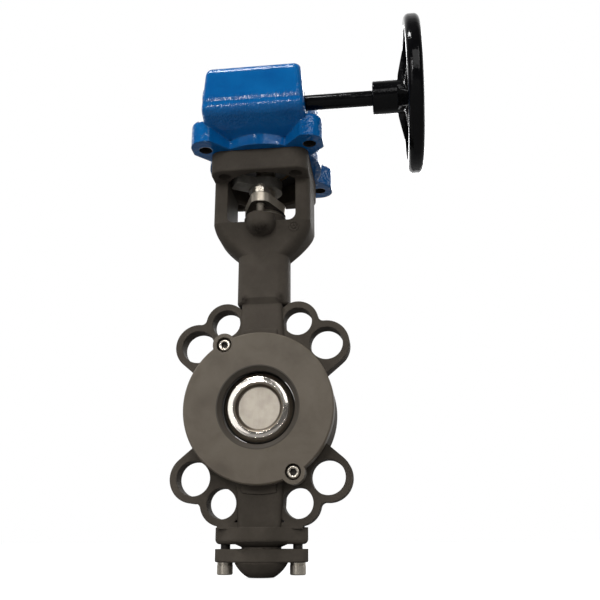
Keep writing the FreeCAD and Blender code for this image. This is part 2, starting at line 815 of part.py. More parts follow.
def disc():
    """Dished disc in front of the stem axis, with a hub behind it for the stem."""
    floor = -(disc_front_offset - disc_floor_depth)
    back = floor + disc_plate_thickness
    face = [
        (0, floor), (disc_floor_radius, floor),
        (disc_ring_inner_radius, -disc_front_offset + disc_ring_chamfer),
        (disc_ring_inner_radius + disc_ring_chamfer, -disc_front_offset),
        (disc_ring_outer_radius - disc_ring_edge, -disc_front_offset),
    ]
    sphere = math.hypot(disc_radius, seat_offset)
    start = disc_ring_outer_radius
    bend = (start + disc_radius) / 2

    def put(r, h):
        return point(r, h, 0)

    edges = [Part.makeLine(put(*a), put(*b)) for a, b in zip(face, face[1:])]
    lip = (start, -math.sqrt(sphere ** 2 - start ** 2) + disc_lip_drop)
    edges.append(Part.makeLine(put(*face[-1]), put(*lip)))
    edge_end = (disc_radius, seat_plane)
    middle = (bend, -math.sqrt((sphere - disc_edge_flat) ** 2 - bend ** 2))
    edges.append(Part.Arc(put(*lip), put(*middle), put(*edge_end)).toShape())
    rear = [edge_end, (disc_radius - disc_rear_step_inset, seat_plane + disc_rear_step_depth),
            (disc_radius - disc_rear_inset, back), (0, back), (0, floor)]
    edges += [Part.makeLine(put(*a), put(*b)) for a, b in zip(rear, rear[1:])]
    plate = Part.Face(Part.Wire(edges)).revolve(point(0, 0, 0), point(0, 1, 0), 360)

    hub_end = boss_pad_height - thrust_washer_thickness - assembly_gap
    hub = rod(disc_hub_radius, -hub_end, hub_end, "z")
    hub = rounded(hub, disc_hub_round, lambda m, e: abs(m.z) > hub_end - touch and len(e.Vertexes) == 1)
    wide, narrow = disc_ring_outer_radius - disc_web_inset, disc_hub_radius * disc_web_share
    web = slab([(-wide, back - 2 * overlap, 0), (wide, back - 2 * overlap, 0),
                (narrow, 0, disc_web_round), (-narrow, 0, disc_web_round)],
               "xy", -disc_web_half_height, disc_web_half_height)
    tall = disc_radius - disc_cheek_inset
    cheeks = block(-disc_hub_radius, disc_hub_radius, back - overlap, 0, -tall, tall)
    solid = joined([plate, hub, web, cheeks])
    solid = solid.cut(rod(stem_radius + pin_fit, -hub_end - overlap, hub_end + overlap, "z"))
    for z in (-disc_pin_height, disc_pin_height):
        solid = solid.cut(rod(disc_pin_radius + pin_fit, -disc_hub_radius - 3 * overlap,
                              disc_hub_radius + 3 * overlap, "x", (0, z)))
    return solid


def disc_pins():
    half = disc_hub_radius - disc_pin_inset
    return [rod(disc_pin_radius, -half, half, "x", (0, z)) for z in (-disc_pin_height, disc_pin_height)]


def stem():
    """One stem from the bottom bush through the disc and the gland into the gear."""
    shaft = rod(stem_radius, stem_bottom, stem_top, "z")
    shaft = rounded(shaft, stem_end_round, lambda m, e: len(e.Vertexes) == 1)
    cuts = [rod(disc_pin_radius + pin_fit, -stem_radius - overlap, stem_radius + overlap, "x", (0, z))
            for z in (-disc_pin_height, disc_pin_height)]
    cuts.append(key_solid(running_gap, 0))
    cuts.append(rod(indicator_screw_radius + running_gap, stem_top - indicator_tap_depth,
                    stem_top + overlap, "z"))
    cuts.append(rod(collar_screw_radius + collar_dimple_slack, stem_radius - collar_dimple_depth,
                    stem_radius + overlap, "y", (0, collar_screw_level())))
    return shaft.cut(cuts)


def collar_screw_level():
    return collar_bottom + collar_height / 2


def key_solid(slack, extra):
    """Parallel key, half in the stem and half in the gear hub, on the rear side of the stem."""
    half = key_width / 2 + slack
    middle = worm_height
    ends = (middle - key_length / 2 - slack, middle + key_length / 2 + slack)
    depth = stem_radius - key_width / 2 - slack
    return block(-half, half, depth, stem_radius + key_width / 2 + slack + extra, ends[0], ends[1])


def stem_bush(sign):
    start = boss_pad_height + assembly_gap
    end = boss_pad_height + bush_length - assembly_gap
    ends = sorted((sign * start, sign * end))
    return [tube(bush_radius, stem_radius + running_gap, ends[0], ends[1], "z")]


def disc_thrust_washers():
    washers = []
    for sign in (-1, 1):
        near = boss_pad_height - thrust_washer_thickness
        ends = sorted((sign * near, sign * boss_pad_height))
        washers.append(tube(thrust_washer_radius, stem_radius + assembly_gap, ends[0], ends[1], "z"))
    return washers


def packing_start():
    return box_bottom + junk_ring_height


def packing_end():
    return packing_start() + packing_count * packing_height


def packing_rings():
    rings = []
    for i in range(packing_count):
        start = packing_start() + i * packing_height
        ring = tube(box_radius, stem_radius + running_gap, start, start + packing_height, "z")
        rings.append(ring)
    return rings


def junk_ring():
    return [tube(box_radius, stem_radius + assembly_gap, box_bottom, packing_start(), "z")]


def gland_bush():
    """Follower that presses the packing, with a collar under the gland flange."""
    inner = stem_radius + assembly_gap * 2
    outer = box_radius - assembly_gap
    collar = box_radius + gland_bush_collar
    step = box_top + gland_bush_stand
    return [turned([
        (inner, packing_end()), (outer, packing_end()), (outer, step), (collar, step),
        (collar, gland_flange_bottom), (inner, gland_flange_bottom),
    ], "z")]


def gland_flange():
    """Oval flange on two studs; its rim is rounded at the top."""
    plate = eared_slab(gland_flange_radius, gland_ear_radius, stud_spacing / 2,
                       gland_flange_bottom, gland_flange_top, "y")
    plate = rounded(plate, gland_flange_round, lambda m, e: abs(m.z - gland_flange_top) < touch)
    plate = plate.cut(rod(stem_radius + gland_stem_slack, gland_flange_bottom - overlap,
                          gland_flange_top + overlap, "z"))
    for y in (-stud_spacing / 2, stud_spacing / 2):
        plate = plate.cut(rod(stud_radius + hole_slack, gland_flange_bottom - overlap,
                              gland_flange_top + overlap, "z", (0, y)))
    return [plate]


def gland_studs():
    return [rod(stud_radius, box_top - stud_depth + stud_end_gap, stud_top, "z", (0, y))
            for y in (-stud_spacing / 2, stud_spacing / 2)]


def gland_nuts():
    nut = hex_nut(gland_nut_width, gland_nut_height, stud_radius + running_gap)
    return [nut.translated(point(0, y, gland_flange_top)) for y in (-stud_spacing / 2, stud_spacing / 2)]


def stop_collar():
    """Collar on the stem with one lobe, inside the bore of the top flange."""
    start, end = collar_bottom, collar_bottom + collar_height
    half = collar_lobe_width / 2
    hub = rod(collar_radius, start, end, "z")
    r = collar_lobe_round
    lobe = slab([(0, -half, 0), (collar_lobe_reach, -half, r), (collar_lobe_reach, half, r), (0, half, 0)],
                "xy", start + collar_lobe_step, end)
    lobe.rotate(point(0, 0, 0), point(0, 0, 1), collar_lobe_angle)
    collar = joined([hub, lobe]).cut(rod(stem_radius + running_gap, start - overlap, end + overlap, "z"))
    return [collar.cut(rod(collar_screw_radius + running_gap, 0, collar_radius + overlap, "y",
                           (0, collar_screw_level())))]


def stop_collar_screw():
    end = collar_radius - collar_screw_sink
    screw = rod(collar_screw_radius, stem_radius - collar_screw_bite, end, "y", (0, collar_screw_level()))
    socket = aimed(slab(hexagon(collar_screw_key), "xy", 0, collar_screw_socket + overlap),
                   point(0, end - collar_screw_socket, collar_screw_level()), point(0, 1, 0))
    return [screw.cut(socket)]


def bottom_thrust_washer():
    top = stem_bottom - assembly_gap
    return [rod(stem_radius, top - thrust_washer_thickness, top, "z")]


def bottom_gasket():
    inner = bush_radius + bottom_gasket_bore_gap
    return [tube(bottom_seat_radius, inner, cover_seat, bottom_boss_bottom, "z")]


def bottom_cover():
    """Cover with a domed boss below and a spigot that carries the thrust washer."""
    plate = eared_slab(bottom_boss_radius, bottom_ear_radius, bottom_screw_offset,
                       cover_bottom, cover_seat, "x")
    plate = rounded(plate, bottom_cover_round, lambda m, e: abs(m.z - cover_bottom) < touch)
    skirt = cover_bottom - dome_skirt
    tip = cover_bottom - dome_height
    top = cover_bottom + overlap
    bend = ((dome_radius + dome_tip_radius) / 2 + dome_bulge, (skirt + tip) / 2 - dome_bulge)

    def put(r, h):
        return point(r, 0, h)

    edges = [
        Part.makeLine(put(0, top), put(dome_radius, top)),
        Part.makeLine(put(dome_radius, top), put(dome_radius, skirt)),
        Part.Arc(put(dome_radius, skirt), put(*bend), put(dome_tip_radius, tip)).toShape(),
        Part.makeLine(put(dome_tip_radius, tip), put(0, tip)),
        Part.makeLine(put(0, tip), put(0, top)),
    ]
    dome = Part.Face(Part.Wire(edges)).revolve(point(0, 0, 0), point(0, 0, 1), 360)
    spigot_top = stem_bottom - thrust_washer_thickness - assembly_gap
    spigot = rod(bush_radius - assembly_gap, cover_seat - overlap, spigot_top, "z")
    cover = joined([plate, dome, spigot])
    for x in (-bottom_screw_offset, bottom_screw_offset):
        cover = cover.cut(rod(bottom_screw_radius + hole_slack, cover_bottom - overlap,
                              cover_seat + overlap, "z", (x, 0)))
    return [cover]


def bottom_cover_screws():
    seat = cover_bottom - bottom_washer_thickness
    length = bottom_flange_bottom + bottom_screw_engagement - seat
    screw = cap_screw(bottom_screw_radius, length)
    return [aimed(screw, point(x, 0, seat), point(0, 0, -1))
            for x in (-bottom_screw_offset, bottom_screw_offset)]


def bottom_cover_washers():
    """Split spring washers under the screw heads."""
    washers = []
    for x in (-bottom_screw_offset, bottom_screw_offset):
        outer = bottom_screw_radius * bottom_washer_ratio
        low = cover_bottom - bottom_washer_thickness
        ring = tube(outer, bottom_screw_radius + bottom_washer_bore_slack, low, cover_bottom, "z", (x, 0))
        slot = block(x - bottom_washer_slot / 2, x + bottom_washer_slot / 2, 0, outer + overlap,
                     low - overlap, cover_bottom + overlap)
        washers.append(ring.cut(slot))
    return washers


def flange_studs():
    """Studs in the gearbox base that stand in the holes of the top flange."""
    studs = []
    for x, y in corner_places(top_bolt_circle / 2 / math.sqrt(2)):
        studs.append(rod(flange_stud_radius, flange_bottom + flange_stud_recess,
                         housing_base + flange_stud_depth - flange_stud_end_gap, "z", (x, y)))
    return studs


def gearbox_lug(x, y):
    """Corner lug whose outline reaches past its hole, more along the pipe than across it."""
    sx, sy = math.copysign(1, x), math.copysign(1, y)
    inner, side_round = gearbox_lug_inner, gearbox_lug_side_round
    near, far = on_circle(2 * (housing_radius - gearbox_lug_sink), gearbox_lug_root_angle)
    corners = [(sx * far, sy * far, 0), (sx * near, sy * far, 0),
               (sx * gearbox_lug_reach_x, sy * inner, side_round),
               (sx * gearbox_lug_reach_x, sy * gearbox_lug_reach_y, gearbox_lug_corner),
               (sx * inner, sy * gearbox_lug_reach_y, side_round), (sx * far, sy * near, 0)]
    top = housing_base + gearbox_lug_height
    lug = slab(corners, "xy", housing_base, top)
    rim = inner * gearbox_lug_round_share
    return rounded(lug, gearbox_lug_top_round,
                   lambda m, e: abs(m.z - top) < touch and math.hypot(m.x, m.y) > rim)


def worm_block():
    """Rounded casing of the worm across the front of the gearbox."""
    low = housing_base + worm_block_bottom
    foot = housing_base + worm_block_slope_foot
    corners = [
        (-worm_block_rear, worm_block_top, worm_block_rear_round),
        (-worm_block_front, worm_block_top, worm_block_round), (-worm_block_front, low, worm_block_round),
        (-worm_block_slope_end, foot, worm_block_slope_round), (-worm_block_rear, foot, 0),
    ]
    wide = worm_block_half_length + worm_block_flare
    solid = slab(corners, "yz", -wide, wide)
    narrow = worm_block_half_length - worm_block_flare
    high = worm_block_top + overlap
    ends = [(-wide, housing_base, 0), (-narrow, high, 0), (narrow, high, 0), (wide, housing_base, 0)]
    solid = solid.common(slab(ends, "xz", -worm_block_front - overlap, 0))
    return rounded(solid, worm_block_end_round, lambda m, e: abs(m.x) > narrow - touch)


def stop_screw_tip():
    """Height along Y at which a stop screw meets the flank of the gear at the end of its travel."""
    flank = math.radians(quadrant_end + stem_travel)
    reach = min(gear_root_radius, (stop_screw_offset + stop_screw_radius) / math.cos(flank))
    return reach * math.sin(flank) + stop_gap


def gearbox_housing():
    """Casting with the base, four lugs, the round wall and the worm block."""
    parts = [rod(housing_radius, housing_base, housing_top, "z"), worm_block()]
    for x, y in corner_places(gearbox_bolt_circle / 2 / math.sqrt(2)):
        parts.append(gearbox_lug(x, y))
    for x in (-stop_screw_offset, stop_screw_offset):
        parts.append(rod(stop_boss_radius, housing_radius * stop_boss_root_share, stop_boss_reach, "y",
                         (x, worm_height)))
    chamber = rod(housing_inside_radius, housing_base + housing_floor, housing_top, "z")
    housing = joined(parts).cut(chamber)
    bush_outer = gear_hub_radius + running_gap + wheel_bush_wall
    bore = worm_bush_radius + assembly_gap / 2
    half = worm_block_half_length
    end_run = worm_block_flare + 3 * overlap
    axis = (worm_offset, worm_height)
    cuts = [
        rod(bush_outer + assembly_gap / 2, housing_base - overlap,
            housing_base + housing_floor + overlap, "z"),
        rod(worm_chamber_radius, -half - end_run, worm_right_bush_start(), "x", axis),
        rod(bore, 0, half - shaft_seal_width, "x", axis),
        rod(shaft_radius + shaft_seal_wall, 0, half + end_run, "x", axis),
    ]
    for x, y in corner_places(gearbox_bolt_circle / 2 / math.sqrt(2)):
        cuts.append(rod(gearbox_lug_hole_radius, housing_base - overlap,
                        housing_base + gearbox_lug_hole_depth,
                        "z", (x, y)))
    for x, y in corner_places(top_bolt_circle / 2 / math.sqrt(2)):
        cuts.append(rod(flange_stud_radius + running_gap, housing_base - overlap,
                        housing_base + flange_stud_depth, "z", (x, y)))
    for x in (-stop_screw_offset, stop_screw_offset):
        cuts.append(rod(stop_screw_radius + running_gap, 0, stop_boss_reach + overlap, "y", (x, worm_height)))
    for x, y in cover_screw_places():
        cuts.append(rod(cover_screw_radius + running_gap,
                        housing_top - cover_screw_depth - cover_screw_end_gap,
                        housing_top + overlap, "z", (x, y)))
    return [housing.cut(cuts)]


def worm_right_bush_start():
    return worm_block_half_length - shaft_seal_width - worm_bush_length


def cover_screw_places():
    """Screws round the open rim of the drum; none lies under the worm casing."""
    middle = (cover_screw_count - 1) / 2
    circle = 2 * (housing_radius - cover_screw_inset)
    return [on_circle(circle, 90 + cover_screw_spacing * (i - middle)) for i in range(cover_screw_count)]


def front_of_cover():
    """Space that the worm casing takes from the round cover and its gasket."""
    return block(-housing_radius, housing_radius, -housing_radius, cover_front,
                 housing_top - overlap, cover_top_plane + overlap)


def wheel_bush():
    inner = gear_hub_radius + running_gap
    return [tube(inner + wheel_bush_wall, inner, housing_base + wheel_bush_inset,
                 housing_base + housing_floor - wheel_bush_inset, "z")]


def tooth_half_angle(radius):
    """Half the angle that an involute tooth fills at a radius, in radians."""
    base = gear_pitch_radius * math.cos(math.radians(pressure_angle))
    thickness = (math.pi * gear_module / 2 - gear_backlash) / 2 / gear_pitch_radius
    at_pitch = math.tan(math.radians(pressure_angle)) - math.radians(pressure_angle)
    turn = math.acos(min(1.0, base / radius))
    return thickness + at_pitch - (math.tan(turn) - turn)


def tooth_wire(centre_angle, level):
    """Outline of one tooth: radial root, two flanks as arcs through three involute points."""
    base = gear_pitch_radius * math.cos(math.radians(pressure_angle))
    start = gear_root_radius - gear_tooth_root_sink
    radii = (base, (base + gear_tip_radius) / 2, gear_tip_radius)

    def at(radius, turn):
        angle = math.radians(centre_angle) + turn
        return point(radius * math.cos(angle), radius * math.sin(angle), level)

    right = [at(r, -tooth_half_angle(r)) for r in radii]
    left = [at(r, tooth_half_angle(r)) for r in radii]
    foot = tooth_half_angle(base)
    edges = [
        Part.makeLine(at(start, -foot), right[0]), Part.Arc(*right).toShape(),
        Part.makeLine(right[2], left[2]), Part.Arc(left[2], left[1], left[0]).toShape(),
        Part.makeLine(left[0], at(start, foot)), Part.makeLine(at(start, foot), at(start, -foot)),
    ]
    return Part.Wire(edges)


def gear_tooth(centre_angle):
    """Tooth that leans across the face by the lead of the worm thread."""
    half = gear_face_width / 2
    lean = math.degrees(half * worm_pitch / (2 * math.pi * worm_pitch_radius) / gear_pitch_radius)
    low = tooth_wire(centre_angle + lean, worm_height - half)
    high = tooth_wire(centre_angle - lean, worm_height + half)
    return Part.makeLoft([low, high], True, True)


def worm_wheel():
    """Gear sector on a hub; only the teeth that the quarter turn needs are there."""
    low = worm_height - gear_face_width / 2
    high = worm_height + gear_face_width / 2
    angles = [math.radians(quadrant_start + (quadrant_end - quadrant_start) * t) for t in (0, 0.5, 1)]
    rim = [point(gear_root_radius * math.cos(a), gear_root_radius * math.sin(a), low) for a in angles]
    centre = point(0, 0, low)
    face = Part.Face(Part.Wire([
        Part.makeLine(centre, rim[0]), Part.Arc(*rim).toShape(), Part.makeLine(rim[2], centre),
    ]))
    parts = [face.extrude(point(0, 0, gear_face_width))]
    for i in range(gear_tooth_count):
        parts.append(gear_tooth(quadrant_start + (i + 0.5) * tooth_step))
    foot = housing_base + wheel_bush_inset
    parts.append(rod(gear_hub_radius, foot, high + gear_hub_stand, "z"))
    parts.append(rod(gear_hub_top_radius, high, cover_top_plane, "z"))
    wheel = joined(parts)
    bore = rod(stem_radius + running_gap, foot - overlap, cover_top_plane + overlap, "z")
    keyway = block(-key_width / 2 - running_gap, key_width / 2 + running_gap, 0,
                   stem_radius + key_width / 2 + running_gap, foot - overlap, cover_top_plane + overlap)
    return [wheel.cut(bore).cut(keyway)]


def cover_gasket():
    gasket = tube(cover_radius, housing_inside_radius, housing_top, cover_bottom_plane, "z")
    gasket = gasket.cut(front_of_cover())
    for x, y in cover_screw_places():
        gasket = gasket.cut(rod(cover_screw_radius + hole_slack, housing_top - overlap,
                                cover_bottom_plane + overlap, "z", (x, y)))
    return [gasket]


def gearbox_cover():
    inner = gear_hub_top_radius + running_gap
    lip = inner + cover_lip_wall
    low = cover_bottom_plane - cover_lip_depth
    cover = turned([
        (inner, low), (lip, low), (lip, cover_bottom_plane),
        (cover_radius, cover_bottom_plane), (cover_radius, cover_top_plane - cover_chamfer),
        (cover_radius - cover_chamfer, cover_top_plane), (inner, cover_top_plane),
    ], "z").cut(front_of_cover())
    for x, y in cover_screw_places():
        cover = cover.cut(rod(cover_screw_radius + hole_slack, cover_bottom_plane - overlap,
                              cover_top_plane + overlap, "z", (x, y)))
    return [cover]


def cover_screws():
    screw = cap_screw(cover_screw_radius, cover_top_plane - housing_top + cover_screw_depth)
    return [screw.translated(point(x, y, cover_top_plane)) for x, y in cover_screw_places()]


def position_indicator():
    """Round cap on the gear hub with a raised bar that lies across the pipe when closed."""
    start = cover_top_plane + assembly_gap
    top = start + indicator_thickness
    cap = rod(indicator_radius, start, top, "z")
    cap = rounded(cap, indicator_round, lambda m, e: m.z > top - touch and len(e.Vertexes) == 1)
    half, wide, r = indicator_radius - indicator_bar_inset, indicator_bar_half_width, indicator_bar_round
    bar = slab([(-half, -wide, r), (half, -wide, r), (half, wide, r), (-half, wide, r)],
               "xy", top - indicator_bar_sink, top + indicator_pointer_height)
    solid = joined([cap, bar])
    high = top + indicator_pointer_height + overlap
    solid = solid.cut(rod(indicator_screw_radius + indicator_hole_slack, start - overlap, high, "z"))
    return [solid.cut(rod(indicator_screw_radius * indicator_recess_ratio, top, high, "z"))]


def indicator_screw():
    seat = cover_top_plane + assembly_gap + indicator_thickness
    screw = cap_screw(indicator_screw_radius, seat - stem_top + indicator_screw_reach)
    return [screw.translated(point(0, 0, seat))]


def worm():
    """Single-start left-handed worm, cut to length from a longer thread."""
    half_width = worm_pitch / 4
    slope = math.tan(math.radians(pressure_angle))
    foot = worm_root_radius - worm_thread_sink
    wide = half_width + (worm_pitch_radius - foot) * slope
    narrow = half_width - gear_module * slope
    turns = math.ceil(worm_length / worm_pitch) + 2
    length = turns * worm_pitch
    helix = Part.makeLongHelix(worm_pitch, length, worm_pitch_radius, 0, True)
    corners = [point(foot, 0, -wide), point(worm_tip_radius, 0, -narrow),
               point(worm_tip_radius, 0, narrow), point(foot, 0, wide)]
    profile = Part.makePolygon(corners + [corners[0]])
    thread = Part.Wire(helix.Edges).makePipeShell([profile], True, True)
    thread.translate(point(0, 0, -length / 2))
    if turns % 2:
        thread.rotate(point(0, 0, 0), point(0, 0, 1), 180)
    core = rod(worm_root_radius, -worm_length / 2, worm_length / 2, "z")
    band = rod(worm_tip_radius + overlap, -worm_length / 2, worm_length / 2, "z")
    solid = core.fuse(thread.common(band))
    solid = solid.cut(rod(shaft_radius + pin_fit, -worm_length, worm_length, "z"))
    solid = solid.cut(rod(worm_pin_radius + pin_fit, -worm_tip_radius - overlap,
                          worm_tip_radius + overlap, "y",
                          (0, worm_length / 2 - worm_pin_inset)))
    # Laid along the pipe-crossing axis with the crest at mid length facing the gear.
    solid.rotate(point(0, 0, 0), point(0, 1, 0), 90)
    solid.rotate(point(0, 0, 0), point(1, 0, 0), 90)
    solid.translate(point(0, worm_offset, worm_height))
    return [solid]


def input_shaft():
    """Shaft of the handwheel: it carries the worm and a collar at each end of it."""
    axis = (worm_offset, worm_height)
    end = wheel_hub_end - shaft_end_gap
    start = -worm_block_half_length + end_cap_thickness + shaft_end_gap
    shaft = rod(shaft_radius, start, end, "x", axis)
    shaft = rounded(shaft, shaft_end_round, lambda m, e: len(e.Vertexes) == 1)
    parts = [shaft]
    for inner, outer in shaft_collars():
        parts.append(rod(shaft_collar_radius, inner, outer, "x", axis))
    solid = joined(parts)
    solid = solid.cut(worm_pin_hole(worm_length / 2 - worm_pin_inset, pin_fit))
    return [solid.cut(wheel_pin_solid(wheel_pin_radius + pin_fit, wheel_hub_radius + 2 * overlap))]


def shaft_collars():
    """Shoulders between the worm ends and the two bushes, as pairs along X."""
    right = worm_right_bush_start() - assembly_gap
    left = -worm_right_bush_start() + assembly_gap
    worm_end = worm_length / 2 + assembly_gap / 2
    return [(worm_end, right), (left, worm_right_collar_end(left))]


def worm_right_collar_end(left):
    return max(left + shaft_collar_least, -worm_length / 2 - assembly_gap / 2)


def worm_pin_hole(place, slack):
    return rod(worm_pin_radius + slack, worm_height - worm_tip_radius - overlap,
               worm_height + worm_tip_radius + overlap, "z", (place, worm_offset))


def worm_pin():
    half = worm_root_radius - worm_pin_sink
    return [rod(worm_pin_radius, worm_height - half, worm_height + half, "z",
                (worm_length / 2 - worm_pin_inset, worm_offset))]


def worm_bushes():
    axis = (worm_offset, worm_height)
    right = worm_right_bush_start()
    bushes = [tube(worm_bush_radius, shaft_radius + running_gap, right, right + worm_bush_length, "x", axis)]
    left_end = -worm_block_half_length + end_cap_thickness
    bushes.append(tube(worm_bush_radius, shaft_radius + running_gap, left_end, -right, "x", axis))
    return bushes


def worm_end_cap():
    """Plug that closes the worm chamber and holds the left bush in its inner collar."""
    axis = (worm_offset, worm_height)
    outer = worm_chamber_radius - assembly_gap / 2
    start = -worm_block_half_length
    flat = start + end_cap_thickness
    cap = rod(outer, start, flat, "x", axis)
    inner = worm_bush_radius + assembly_gap / 2
    sleeve = tube(outer, inner, flat - overlap / 2, -worm_right_bush_start(), "x", axis)
    return [joined([cap, sleeve])]


def shaft_seal():
    axis = (worm_offset, worm_height)
    start = worm_block_half_length - shaft_seal_width
    return [tube(shaft_radius + shaft_seal_wall - running_gap, shaft_radius + running_gap,
                 start + shaft_seal_inner_gap, worm_block_half_length - shaft_seal_outer_gap, "x", axis)]


def stop_screws():
    start = stop_screw_tip()
    screws = []
    for x in (-stop_screw_offset, stop_screw_offset):
        shank = rod(stop_screw_radius, start, start + stop_screw_length, "y", (x, worm_height))
        socket = aimed(slab(hexagon(stop_screw_radius), "xy", 0, stop_screw_radius + overlap),
                       point(x, start + stop_screw_length - stop_screw_radius, worm_height), point(0, 1, 0))
        screws.append(shank.cut(socket))
    return screws


def stop_lock_nuts():
    nut = hex_nut(stop_nut_width, stop_nut_height, stop_screw_radius + running_gap)
    return [aimed(nut, point(x, stop_boss_reach, worm_height), point(0, 1, 0))
            for x in (-stop_screw_offset, stop_screw_offset)]


def wheel_pin_solid(radius, half):
    """Cross pin through the wheel hub, tilted so that it lies square to the line of sight."""
    tilt = math.radians(wheel_pin_tilt)
    way = point(0, -math.sin(tilt), math.cos(tilt))
    middle = point(wheel_hub_start + wheel_pin_place, worm_offset, worm_height)
    return Part.makeCylinder(radius, 2 * half, middle - way * half, way)


def handwheel_pin():
    return [wheel_pin_solid(wheel_pin_radius, wheel_hub_radius - wheel_pin_sink)]


def spoke_outline(root, tip):
    """Half widths of a spoke from hub to rim, on both sides of its middle line."""
    root_half, tip_half = wheel_spoke_root_width / 2, wheel_spoke_tip_width / 2
    side = [
        (root_half * wheel_spoke_root_flare, root, 0),
        (root_half * wheel_spoke_waist_share, root + wheel_spoke_waist_place, wheel_spoke_root_round),
        (tip_half, tip - wheel_spoke_tip_place, wheel_spoke_tip_round),
        (tip_half * wheel_spoke_tip_flare, tip, 0),
    ]
    return [(-half, height, r) for half, height, r in side] + side[::-1]


def handwheel():
    """Dished wheel: the hub stands in from the rim on tapered spokes."""
    centre = point(0, worm_offset, worm_height)
    axis = point(1, 0, 0)
    middle = wheel_rim_radius - wheel_rim_depth / 2
    half_depth, half_width = wheel_rim_depth / 2, wheel_rim_width / 2
    corner = min(half_depth, half_width) * wheel_rim_corner_share
    section = rounded_wire(
        [(wheel_rim_centre - half_width, middle - half_depth, corner),
         (wheel_rim_centre + half_width, middle - half_depth, corner),
         (wheel_rim_centre + half_width, middle + half_depth, corner),
         (wheel_rim_centre - half_width, middle + half_depth, corner)],
        lambda u, v: point(u, worm_offset, worm_height + v))
    rim = Part.Face(section).revolve(centre, axis, 360)
    hub = rod(wheel_hub_radius, wheel_hub_start, wheel_hub_end, "x", (worm_offset, worm_height))
    hub = rounded(hub, wheel_hub_round, lambda m, e: len(e.Vertexes) == 1)
    # The spokes are cut out of one dished shell, so that they lean from hub to rim.
    root, tip = wheel_hub_radius - wheel_spoke_root_sink, middle
    shell_root = wheel_hub_end - wheel_spoke_thickness
    shell_tip = wheel_rim_centre - wheel_spoke_thickness / 2
    shell = Part.Face(Part.makePolygon([
        centre + point(shell_root, 0, root), centre + point(shell_tip, 0, tip),
        centre + point(shell_tip + wheel_spoke_thickness * wheel_spoke_tip_share, 0, tip),
        centre + point(shell_root + wheel_spoke_thickness, 0, root), centre + point(shell_root, 0, root),
    ])).revolve(centre, axis, 360)
    parts = [rim, hub]
    for i in range(wheel_spoke_count):
        outline = slab(spoke_outline(root, tip), "yz", wheel_hub_start, wheel_rim_centre + wheel_rim_width)
        outline.rotate(point(0, 0, 0), axis, wheel_spoke_angle - 90 + 360.0 / wheel_spoke_count * i)
        outline.translate(centre)
        parts.append(shell.common(outline))
    wheel = joined(parts)
    wheel = wheel.cut(rod(shaft_radius + pin_fit, wheel_hub_start - overlap, wheel_hub_end + overlap, "x",
                          (worm_offset, worm_height)))
    return [wheel.cut(wheel_pin_solid(wheel_pin_radius + pin_fit, wheel_hub_radius + 2 * overlap))]


def write(name, solids):
    """Saves one node; several solids of one kind are saved as a group."""
    shape = solids[0] if len(solids) == 1 else Part.makeCompound(solids)
    shape.exportStep("parts/" + name + ".step")
    print(name, len(shape.Solids), "solid", round(shape.Volume, 1), "mm3", "valid", shape.isValid())


def all_nodes():
    """Every separate piece of the valve by name; like fasteners share a name."""
    return {
        "valve_body": [valve_body()],
        "seat_retainer": [seat_retainer()],
        "retainer_screws": retainer_screws(),
        "seat_ring": seat_ring(),
        "disc": [disc()],
        "disc_pins": disc_pins(),
        "stem": [stem()],
        "upper_stem_bush": stem_bush(1),
        "lower_stem_bush": stem_bush(-1),
        "disc_thrust_washers": disc_thrust_washers(),
        "junk_ring": junk_ring(),
        "packing_rings": packing_rings(),
        "gland_bush": gland_bush(),
        "gland_flange": gland_flange(),
        "gland_studs": gland_studs(),
        "gland_nuts": gland_nuts(),
        "stop_collar": stop_collar(),
        "stop_collar_screw": stop_collar_screw(),
        "bottom_thrust_washer": bottom_thrust_washer(),
        "bottom_gasket": bottom_gasket(),
        "bottom_cover": bottom_cover(),
        "bottom_cover_screws": bottom_cover_screws(),
        "bottom_cover_washers": bottom_cover_washers(),
        "flange_studs": flange_studs(),
        "gearbox_housing": gearbox_housing(),
        "wheel_bush": wheel_bush(),
        "worm_wheel": worm_wheel(),
        "stem_key": [key_solid(0, 0)],
        "cover_gasket": cover_gasket(),
        "gearbox_cover": gearbox_cover(),
        "cover_screws": cover_screws(),
        "position_indicator": position_indicator(),
        "indicator_screw": indicator_screw(),
        "worm": worm(),
        "worm_pin": worm_pin(),
        "input_shaft": input_shaft(),
        "worm_bushes": worm_bushes(),
        "worm_end_cap": worm_end_cap(),
        "shaft_seal": shaft_seal(),
        "stop_screws": stop_screws(),
        "stop_lock_nuts": stop_lock_nuts(),
        "handwheel": handwheel(),
        "handwheel_pin": handwheel_pin(),
    }


def main():
    os.makedirs("parts", exist_ok=True)
    for name, solids in all_nodes().items():
        write(name, solids)


main()
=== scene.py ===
import math
import bpy
import bmesh
from mathutils import Matrix, Vector


